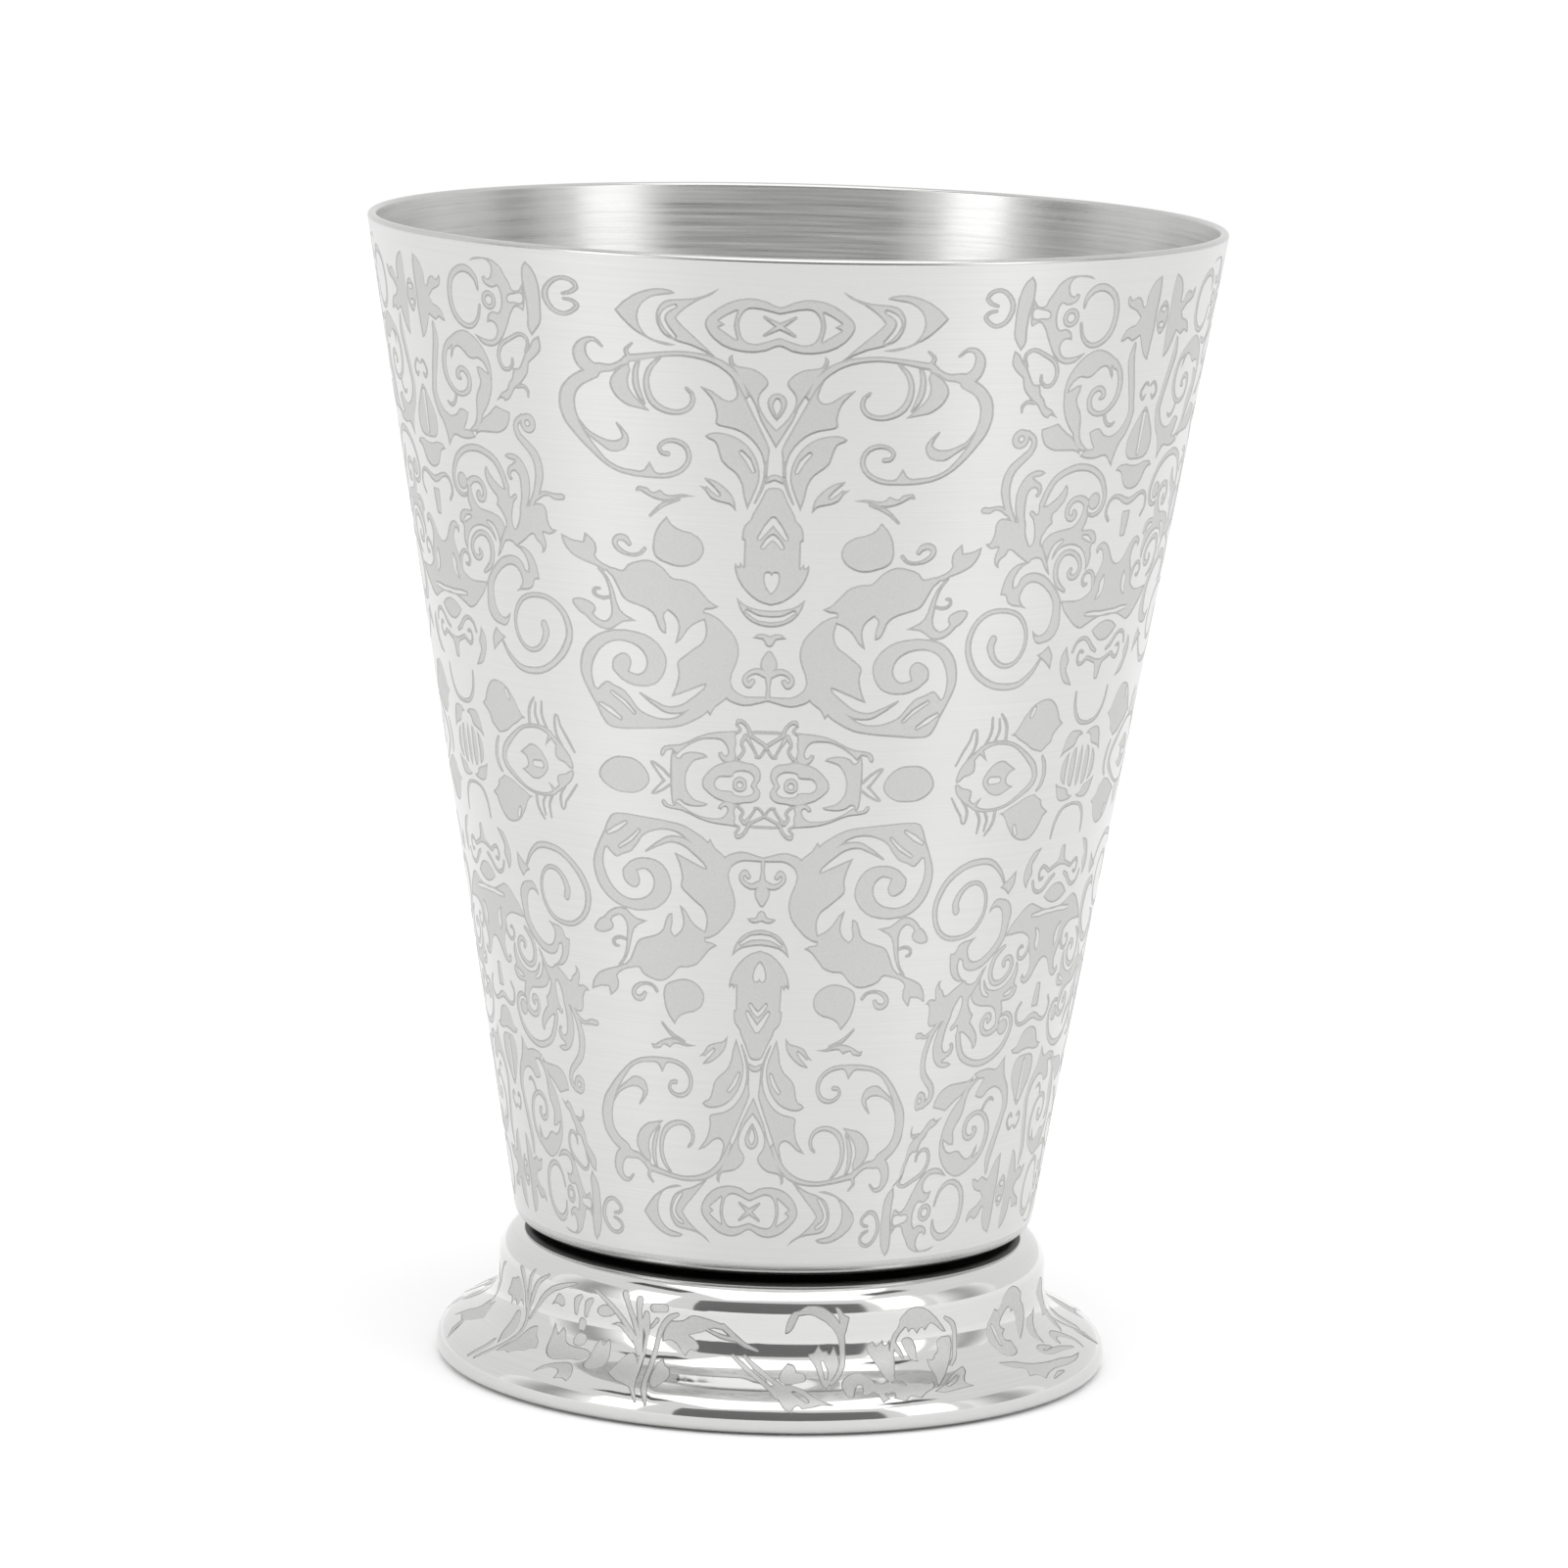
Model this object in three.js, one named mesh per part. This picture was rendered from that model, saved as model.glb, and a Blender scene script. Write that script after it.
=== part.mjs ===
// Footed steel tumbler: a tapered drawn cup standing on a low flared foot.
// Millimetres, +Z up. The origin is on the axis, in the plane that the foot rests on.

import * as THREE from 'three';

// Cup
const overallHeight = 119;      // resting plane to the top of the lip
const rimRadius = 44;           // outside of the lip
const cupBaseRadius = 26.8;     // outside of the wall where it would meet the bottom plane
const cupSheet = 0.9;           // wall and bottom thickness
const cupInsideBend = 1.0;      // inside round between the bottom and the wall

// Foot
const footHeight = 13.8;        // resting plane to the flat top that carries the cup
const footEdgeRadius = 34.9;    // outside of the upright edge
const footEdgeUpright = 0.1;    // upright part of the edge, from the hem's round to the flare
const neckRadius = 28.5;        // outside of the upright neck above the flare
const neckBottomHeight = 8.5;   // where the flare runs out into the neck
const hemInnerRadius = 31.5;    // inner edge of the flange that is turned in to rest on
const footSheet = 0.8;          // thickness of the foot's sheet
const shoulderInsideBend = 2.4; // inside round between the neck and the flat top
const hemInsideBend = 0.2;      // inside round between the edge and the turned flange
const flareSwell = 4.1;         // how far the flare leaves the edge upright before it turns in
const coveDepth = 5.2;          // how far the cove stays upright below the neck

// Braze that joins the cup's bottom to the foot's top
const brazeThickness = 0.5;
const brazeInnerRadius = 11;
const brazeOuterRadius = 18;

// Facets
const turnSegments = 72;
const bendSteps = 4;
const lipSteps = 4;
const flareSteps = 9;

// Directions of a profile's normal
const down = -Math.PI / 2;
const outward = 0;
const up = Math.PI / 2;

const satinSteel = new THREE.MeshStandardMaterial({ color: 0xd9d9d8, roughness: 0.38, metalness: 1 });
const polishedSteel = new THREE.MeshStandardMaterial({ color: 0xe4e4e3, roughness: 0.06, metalness: 1 });
const brazeMetal = new THREE.MeshStandardMaterial({ color: 0xc9b27a, roughness: 0.45, metalness: 1 });

// Points on a round of a profile, from one direction of its normal to another
function arcPoints(centre, radius, fromAngle, toAngle, steps) {
  const points = [];
  for (let i = 0; i <= steps; i += 1) {
    const angle = THREE.MathUtils.lerp(fromAngle, toAngle, i / steps);
    const spoke = new THREE.Vector2(Math.cos(angle), Math.sin(angle));
    points.push(spoke.multiplyScalar(radius).add(centre));
  }
  return points;
}

// A solid of revolution about Z from a profile of radius and height
function turned(name, profile, material) {
  const geometry = new THREE.LatheGeometry(profile, turnSegments);
  geometry.rotateX(Math.PI / 2);
  const mesh = new THREE.Mesh(geometry, material);
  mesh.name = name;
  return mesh;
}

// The drawn cup: flat bottom, conical wall and a rounded lip, all of one sheet
function makeCup() {
  const bottom = footHeight + brazeThickness;
  const lipRound = cupSheet / 2;
  const lipCentre = new THREE.Vector2(rimRadius - lipRound, overallHeight - lipRound);
  const reach = new THREE.Vector2(lipCentre.x - cupBaseRadius, lipCentre.y - bottom);
  const lean = Math.atan2(reach.x, reach.y) + Math.asin(lipRound / reach.length());

  const outsideBend = cupInsideBend + cupSheet;
  const bendReach = outsideBend / Math.tan((Math.PI / 2 + lean) / 2);
  const bendCentre = new THREE.Vector2(cupBaseRadius - bendReach, bottom + outsideBend);

  const profile = [
    new THREE.Vector2(0, bottom),
    ...arcPoints(bendCentre, outsideBend, down, -lean, bendSteps),
    ...arcPoints(lipCentre, lipRound, -lean, Math.PI - lean, lipSteps),
    ...arcPoints(bendCentre, cupInsideBend, -lean, down, bendSteps),
    new THREE.Vector2(0, bottom + cupSheet),
  ];
  return turned('cup_body', profile, satinSteel);
}

// The flare's outside: a swelling edge that sweeps in through a cove to the upright neck
function flareCurve() {
  const edgeTop = hemInsideBend + footSheet + footEdgeUpright;
  return new THREE.CubicBezierCurve(
    new THREE.Vector2(footEdgeRadius, edgeTop),
    new THREE.Vector2(footEdgeRadius, edgeTop + flareSwell),
    new THREE.Vector2(neckRadius, neckBottomHeight - coveDepth),
    new THREE.Vector2(neckRadius, neckBottomHeight),
  );
}

// The flare's points, moved square to the curve into the sheet by an inset
function flarePoints(inset) {
  const curve = flareCurve();
  const points = [];
  for (let i = 0; i <= flareSteps; i += 1) {
    const t = i / flareSteps;
    const along = curve.getTangent(t);
    const inward = new THREE.Vector2(-along.y, along.x);
    points.push(curve.getPoint(t).addScaledVector(inward, inset));
  }
  return points;
}

// The drawn foot: turned flange, upright edge, flare, neck, round shoulder and flat top
function makeFoot() {
  const shoulderOutside = shoulderInsideBend + footSheet;
  const shoulderCentre = new THREE.Vector2(neckRadius - shoulderOutside, footHeight - shoulderOutside);
  const hemOutside = hemInsideBend + footSheet;
  const hemCentre = new THREE.Vector2(footEdgeRadius - hemOutside, hemOutside);

  const outside = [
    new THREE.Vector2(hemInnerRadius, 0),
    ...arcPoints(hemCentre, hemOutside, down, outward, bendSteps),
    ...flarePoints(0),
    ...arcPoints(shoulderCentre, shoulderOutside, outward, up, bendSteps),
    new THREE.Vector2(0, footHeight),
  ];
  const inside = [
    new THREE.Vector2(0, footHeight - footSheet),
    ...arcPoints(shoulderCentre, shoulderInsideBend, up, outward, bendSteps),
    ...flarePoints(footSheet).reverse(),
    ...arcPoints(hemCentre, hemInsideBend, outward, down, bendSteps),
    new THREE.Vector2(hemInnerRadius, footSheet),
  ];
  return turned('foot', [...inside, ...outside], polishedSteel);
}

// The ring of braze that the cup stands on
function makeBraze() {
  const top = footHeight + brazeThickness;
  const profile = [
    new THREE.Vector2(brazeInnerRadius, footHeight),
    new THREE.Vector2(brazeOuterRadius, footHeight),
    new THREE.Vector2(brazeOuterRadius, top),
    new THREE.Vector2(brazeInnerRadius, top),
    new THREE.Vector2(brazeInnerRadius, footHeight),
  ];
  return turned('braze_ring', profile, brazeMetal);
}

const tumbler = new THREE.Group();
tumbler.add(makeCup());
tumbler.add(makeFoot());
tumbler.add(makeBraze());

export default tumbler;
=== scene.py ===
"""Looks of the footed steel tumbler: etched satin cup, polished foot, stage, light and camera."""
import math

import bpy
import numpy as np
from mathutils import Matrix, Vector
from mathutils.geometry import delaunay_2d_cdt


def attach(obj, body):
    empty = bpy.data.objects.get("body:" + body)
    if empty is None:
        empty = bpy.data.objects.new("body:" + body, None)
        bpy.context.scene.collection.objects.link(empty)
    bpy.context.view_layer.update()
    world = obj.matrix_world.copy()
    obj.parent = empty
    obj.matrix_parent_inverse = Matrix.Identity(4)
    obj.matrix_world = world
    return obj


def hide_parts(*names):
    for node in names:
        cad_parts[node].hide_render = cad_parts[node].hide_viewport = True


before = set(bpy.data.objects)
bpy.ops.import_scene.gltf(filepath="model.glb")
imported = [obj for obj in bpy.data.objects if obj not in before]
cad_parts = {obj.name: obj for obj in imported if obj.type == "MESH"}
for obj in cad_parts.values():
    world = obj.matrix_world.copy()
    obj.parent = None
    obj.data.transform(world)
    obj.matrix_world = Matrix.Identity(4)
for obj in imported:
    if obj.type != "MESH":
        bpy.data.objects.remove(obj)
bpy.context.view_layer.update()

MM = 0.001

# Cup, in millimetres, as in the part's source
OVERALL_HEIGHT = 119.0
RIM_RADIUS = 44.0
CUP_BASE_RADIUS = 26.8
CUP_SHEET = 0.9
CUP_INSIDE_BEND = 1.0

# Foot, in millimetres, as in the part's source
FOOT_HEIGHT = 13.8
FOOT_EDGE_RADIUS = 34.9
FOOT_EDGE_UPRIGHT = 0.1
NECK_RADIUS = 28.5
NECK_BOTTOM_HEIGHT = 8.5
HEM_INNER_RADIUS = 31.5
FOOT_SHEET = 0.8
SHOULDER_INSIDE_BEND = 2.4
HEM_INSIDE_BEND = 0.2
FLARE_SWELL = 4.1
COVE_DEPTH = 5.2
BRAZE_THICKNESS = 0.5
FOOT_EDGE_HEIGHT = HEM_INSIDE_BEND + FOOT_SHEET + FOOT_EDGE_UPRIGHT

# The lip keeps this much inside the flat facets of the part's own solid
FACET_ROOM = 0.008

# Turned surfaces: degrees between columns, steps of the rounds and rows, and a ring in the flat discs
COLUMN = 2.5
BEND_STEPS = 4
POLISHED_BEND_STEPS = 8
LIP_STEPS = 16
INSIDE_WALL_STEPS = 8
INSIDE_BEND_STEPS = 6
HEM_STEPS = 8
HEM_INSIDE_STEPS = 5
FLARE_STEPS = 40
SHOULDER_STEPS = 24
SHOULDER_INSIDE_STEPS = 10
DISC_RING = 12

# Where the polish starts on the round under the cup; below it the round and the flat bottom are painted near
# black as shade in the gap over the foot
POLISH_FROM = math.radians(-50.0)

# Material numbers; the first three are also the zones of an etched drawing
GROUND = 0
EDGE = 1
ETCHED = 2
INSIDE = 3
LIP = 4
# The last number is for painted shade under the cup, the dark gap over the foot
PAINTED_SHADE_UNDERSIDE = 5

# Etching: depth, and the width of its sloping edge in the scrollwork and in the foot's sprigs
ETCH_DEPTH = 0.04
SCROLL_EDGE = 0.2
SPRIG_EDGE = 0.11

# Scrollwork: one twelfth of it is drawn, half of a repeat wide and half of the wall high
REPEATS = 3
TWELFTH = 60.0
MIDDLE_HEIGHT = 66.0
TOP_HEIGHT = 117.5
DRAWING_RADIUS = 40.0
ROW = 4.0

# Heights in the drawing, and where they come out below the middle
UPPER_HEIGHTS = (66.0, 71.5, 86.0, 98.0, 112.5, 117.5)
LOWER_HEIGHTS = (66.0, 61.8, 47.4, 35.8, 21.1, 16.05)

# The etching as a whole: degrees that it is turned by, and degrees that it leans by in a millimetre of height
PATTERN_TURN = -3.0
PATTERN_LEAN = 0.021

# How it strays from an even layout: angles round the cup, and the degrees that it is off by there
LEFT_AT = (-95.0, -60.0, -33.0, -26.0)
LEFT_STRAY = (0.0, -1.5, -2.0, 0.0)
MIDDLE_AT = (-60.0, -26.0, 0.0, 24.0, 60.0)
MIDDLE_STRAY = (0.0, -2.0, -1.0, -0.5, 0.0)
RIGHT_AT = (34.0, 60.0)
RIGHT_STRAY = (-4.2, 0.0)
RIGHT_START = 30.0
RIGHT_RAMP = 5.5

# Heights below which the middle and the right stray, and below which the right starts nearer the middle
STRAY_FROM = 52.0
STRAY_FADE = 32.0
HEARTS_FROM = 25.0
HEARTS_FADE = 4.0
HEARTS_REACH = 8.5

# Leaf sprigs on the foot: half of them is drawn, in degrees and millimetres up the profile
SPRIG_TURN = 180.0
SPRIG_RADIUS = 30.0
SPRIG_LOW = 2.4
SPRIG_HIGH = 16.4
SPRIG_ROW = 0.7
SPRIG_STROKE = 1.4

# Drawing: grid, curve steps, flatness of thinned lines, room beside lines, room round shapes, far away
CELL = 0.1
SMOOTH_STEPS = 6
FLATNESS = 0.03
LINE_ROOM = 0.3
SHAPE_ROOM = 1.0
FAR = 1e3

# Tolerances
ON_LINE = 1e-6
SNAP = 1e-4
MERGE = 1e-5
TINY = 1e-9
TINY_SQUARE = 1e-12
WELDS_PER_MM = 2e4
RING_ROOM = 0.05

# An outline's point that is a sharp corner ends in TIP; a vine's point ends in its width
TIP = 1


def leaf(*points):
    return ("leaf", False, points)


def vine(*points):
    return ("vine", False, points)


def clear_leaf(*points):
    return ("leaf", True, points)


def clear_vine(*points):
    return ("vine", True, points)


# Panel A, in degrees from its middle
MEDALLION = [
    leaf((0, 114.25), (1.7, 114.75), (3.7, 115.05), (6.2, 114.7), (8.5, 113.7), (9.8, 112.5), (9.1, 111.2),
         (7.2, 110.1), (4.2, 109.6), (1.7, 109.8), (0, 110.3)),
    clear_leaf((0, 113.45), (1.3, 113.7), (2.7, 113.9), (4.2, 113.85), (5.1, 113.0), (5.2, 112.0),
               (4.6, 110.9), (3.3, 110.55), (1.5, 110.85), (0, 111.2)),
    clear_leaf((5.6, 113.7, TIP), (6.9, 113.2), (7.9, 112.7, TIP), (7.0, 112.35, TIP), (7.9, 112.0, TIP),
               (6.7, 111.4), (5.6, 110.9, TIP), (6.0, 112.3)),
    vine((0, 112.3, 0.75), (1.0, 112.75, 0.5), (2.0, 113.2, 0.35)),
    vine((0, 112.3, 0.75), (1.0, 111.85, 0.5), (2.0, 111.4, 0.35)),
    leaf((22.2, 113.2, TIP), (20.8, 114.2), (18.8, 115.1), (16.3, 115.6), (14.3, 115.5),
         (13.6, 115.15, TIP), (14.8, 115.0), (16.8, 114.7), (18.3, 113.9), (18.9, 112.8), (18.5, 111.6),
         (17.3, 110.7), (15.3, 110.35), (13.6, 110.1, TIP), (14.8, 109.95), (16.8, 110.3), (19.3, 111.2),
         (21.1, 112.3)),
    leaf((7.7, 116.0, TIP), (8.6, 115.6), (10.1, 115.05), (11.8, 114.75), (14.8, 114.5), (15.9, 113.9),
         (16.4, 113.0), (16.2, 112.0), (15.3, 111.0), (13.5, 110.4), (11.8, 110.1), (9.8, 109.5),
         (7.7, 108.6, TIP), (9.3, 109.8), (11.3, 111.1), (13.1, 112.3), (13.6, 112.75, TIP), (12.7, 113.5),
         (10.8, 114.5), (8.8, 115.2)),
    clear_vine((13.8, 113.9, 0.2), (15.0, 113.4, 0.3), (15.5, 112.7, 0.35), (14.9, 111.7, 0.3),
               (13.9, 110.9, 0.2)),
]

GREAT_SCROLL = [
    vine((4.2, 105.4, 0.7), (5.3, 107.0, 0.9), (7.3, 108.3, 0.85), (9.8, 109.0, 0.7), (13.0, 109.25, 0.6),
         (16.0, 109.05, 0.6), (18.3, 108.75, 0.7), (20.3, 108.5, 0.8)),
    vine((20.3, 108.6, 0.6), (20.7, 109.3, 0.5), (19.8, 110.0, 0.3)),
    leaf((20.6, 108.8), (21.8, 108.2), (23.1, 107.8), (24.9, 107.85), (26.3, 107.6), (26.5, 106.8),
         (25.6, 106.5), (24.0, 106.9), (22.9, 107.0), (21.4, 107.6), (20.2, 108.0)),
    vine((25.6, 107.0, 1.4), (26.9, 107.8, 1.4), (27.3, 108.9, 1.2), (26.6, 109.9, 0.7),
         (25.3, 110.1, 0.5), (24.2, 109.5, 0.35)),
    vine((25.6, 106.8, 1.3), (27.6, 106.0, 1.3), (28.9, 104.8, 1.45), (29.2, 103.3, 1.5),
         (28.7, 101.9, 1.4), (27.6, 100.5, 1.0), (26.2, 99.2, 0.8), (24.4, 98.0, 0.6), (22.3, 97.3, 0.6),
         (20.0, 97.05, 0.7), (17.5, 96.95, 0.6), (15.0, 97.05, 0.6), (13.0, 97.7, 0.6), (12.0, 98.8, 0.6),
         (12.3, 99.9, 0.6), (13.5, 100.5, 0.6), (15.1, 100.5, 0.5), (16.2, 99.9, 0.5), (15.9, 99.3, 0.5),
         (15.0, 99.2, 0.6)),
    leaf((19.5, 97.2), (18.6, 97.5), (17.7, 98.4, TIP), (16.9, 97.4), (16.0, 97.1), (17.7, 96.9)),
    vine((28.0, 102.0, 0.4), (26.8, 100.8, 0.5), (25.2, 100.1, 0.7), (23.4, 99.6, 1.2), (21.9, 99.8, 1.2),
         (21.2, 100.5, 0.8), (21.6, 101.2, 0.5), (22.4, 101.9, 0.3)),
    leaf((20.4, 108.1, TIP), (21.4, 107.7), (22.7, 106.9), (23.3, 105.9), (22.6, 104.7), (20.9, 103.8),
         (19.0, 103.5), (17.3, 103.3, TIP), (18.4, 104.0), (19.5, 104.7), (20.3, 105.5), (20.5, 106.4),
         (20.1, 107.3)),
    vine((18.9, 108.4, 0.4), (19.4, 107.3, 0.65), (19.4, 106.0, 0.75), (18.9, 104.9, 0.65),
         (18.2, 104.1, 0.3)),
    vine((16.0, 108.7, 0.4), (17.3, 107.7, 0.6), (17.9, 106.5, 0.65), (17.7, 105.2, 0.75),
         (16.9, 104.2, 0.8), (15.5, 103.6, 0.7), (13.7, 103.4, 0.6), (12.1, 103.8, 0.6),
         (11.4, 104.6, 0.55), (11.6, 105.4, 0.5), (12.3, 105.85, 0.4)),
]

LEAFY_STEM = [
    leaf((0, 105.75), (0.9, 105.5), (1.35, 104.9), (1.2, 104.2), (0.6, 103.4), (0, 102.9, TIP)),
    clear_leaf((0, 105.1), (0.4, 104.7), (0.45, 104.3), (0, 103.6, TIP)),
    leaf((0, 100.2, TIP), (1.3, 101.8), (2.4, 103.2), (3.0, 104.4), (3.6, 105.2), (4.8, 106.6),
         (5.7, 107.6), (6.5, 108.5), (6.6, 109.1), (6.0, 109.5, TIP), (6.0, 109.0), (5.6, 108.4),
         (4.6, 108.25), (3.2, 108.05), (1.9, 107.5), (1.2, 106.8), (1.4, 106.3), (2.2, 105.6),
         (2.45, 104.9), (2.1, 104.0), (1.2, 103.0), (0, 102.1, TIP)),
    leaf((0.8, 100.2), (1.9, 101.9), (3.0, 103.4), (4.3, 105.3), (5.5, 106.9), (6.8, 108.0, TIP),
         (6.1, 106.9), (5.6, 106.0), (5.5, 105.3), (6.2, 104.85), (7.3, 105.0), (8.9, 105.8),
         (10.6, 106.2, TIP), (9.8, 105.6), (8.9, 104.9), (8.4, 104.1), (8.2, 103.2), (8.3, 102.5),
         (7.7, 102.2), (6.0, 102.0), (4.3, 101.5), (2.9, 100.6), (2.0, 99.6), (1.6, 98.6),
         (1.5, 97.7, TIP), (1.1, 98.6), (0.85, 99.5)),
    leaf((9.8, 101.2, TIP), (9.2, 101.5), (8.2, 101.65), (6.5, 101.5), (4.8, 101.0), (3.4, 100.1),
         (2.5, 99.0), (2.1, 97.9), (2.1, 97.0), (2.4, 96.2), (3.0, 95.2), (3.7, 93.9, TIP), (4.3, 95.3),
         (4.6, 96.5), (5.4, 97.5), (6.7, 98.2), (7.5, 98.8), (7.9, 99.8), (8.4, 100.6), (9.3, 100.9)),
    clear_vine((4.7, 99.7, 0.2), (3.7, 98.9, 0.35), (3.0, 97.9, 0.2)),
    vine((1.15, 99.2, 0.4), (1.25, 98.3, 0.45), (1.35, 97.2, 0.4), (1.9, 95.9, 0.35), (2.7, 94.7, 0.25)),
    leaf((0, 97.65), (0.8, 97.5), (1.4, 96.95), (1.3, 96.6, TIP), (0.7, 96.75), (0, 96.95)),
]

TULIP = [
    leaf((0, 96.35), (1.0, 96.2), (1.5, 95.7), (1.9, 95.0), (2.5, 94.2), (3.0, 93.6, TIP), (3.2, 93.1),
         (4.1, 92.4), (4.4, 91.6), (4.4, 90.9, TIP), (4.05, 90.9, TIP), (4.1, 89.5), (4.1, 88.3, TIP),
         (4.6, 88.8, TIP), (4.75, 88.25, TIP), (5.4, 88.7, TIP), (5.4, 88.0), (4.8, 86.8), (3.6, 85.7),
         (1.9, 84.8), (0, 84.4, TIP)),
    clear_vine((0, 93.0, 0.55), (0.9, 92.2, 0.5), (1.9, 91.2, 0.25)),
    clear_vine((0, 91.35, 0.35), (0.7, 90.95, 0.35), (1.4, 90.3, 0.2)),
    clear_leaf((0, 87.4, TIP), (0.4, 87.7), (0.9, 87.6), (0.95, 86.9), (0.6, 86.2), (0, 85.7, TIP)),
    leaf((0, 83.95), (1.8, 84.05), (3.6, 84.4), (5.1, 85.2, TIP), (4.4, 83.8), (2.8, 82.7), (0, 82.2)),
    clear_vine((3.5, 83.8, 0.15), (1.8, 83.15, 0.35), (0, 83.0, 0.4)),
    leaf((0, 81.4), (0.8, 81.6), (1.8, 81.55), (2.6, 81.1, TIP), (1.8, 81.0), (1.0, 80.9), (0.6, 80.4),
         (0, 80.2)),
    leaf((0, 79.9), (0.9, 79.3), (1.35, 78.5), (1.0, 77.8), (0, 77.5)),
    vine((0.3, 77.4, 0.9), (1.8, 77.75, 0.75), (3.1, 77.4, 0.65), (3.6, 76.8, 0.65), (3.0, 76.3, 0.75),
         (2.4, 76.7, 0.7)),
    vine((0, 77.6, 1.0), (0, 76.2, 0.5), (0, 74.9, 0.6)),
    leaf((0, 75.2), (1.5, 75.2), (3.5, 75.2), (5.2, 75.8), (6.2, 76.9), (7.5, 75.8), (6.3, 74.7),
         (5.3, 74.35), (3.6, 74.1), (1.8, 74.3), (0, 74.65, TIP)),
]

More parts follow.
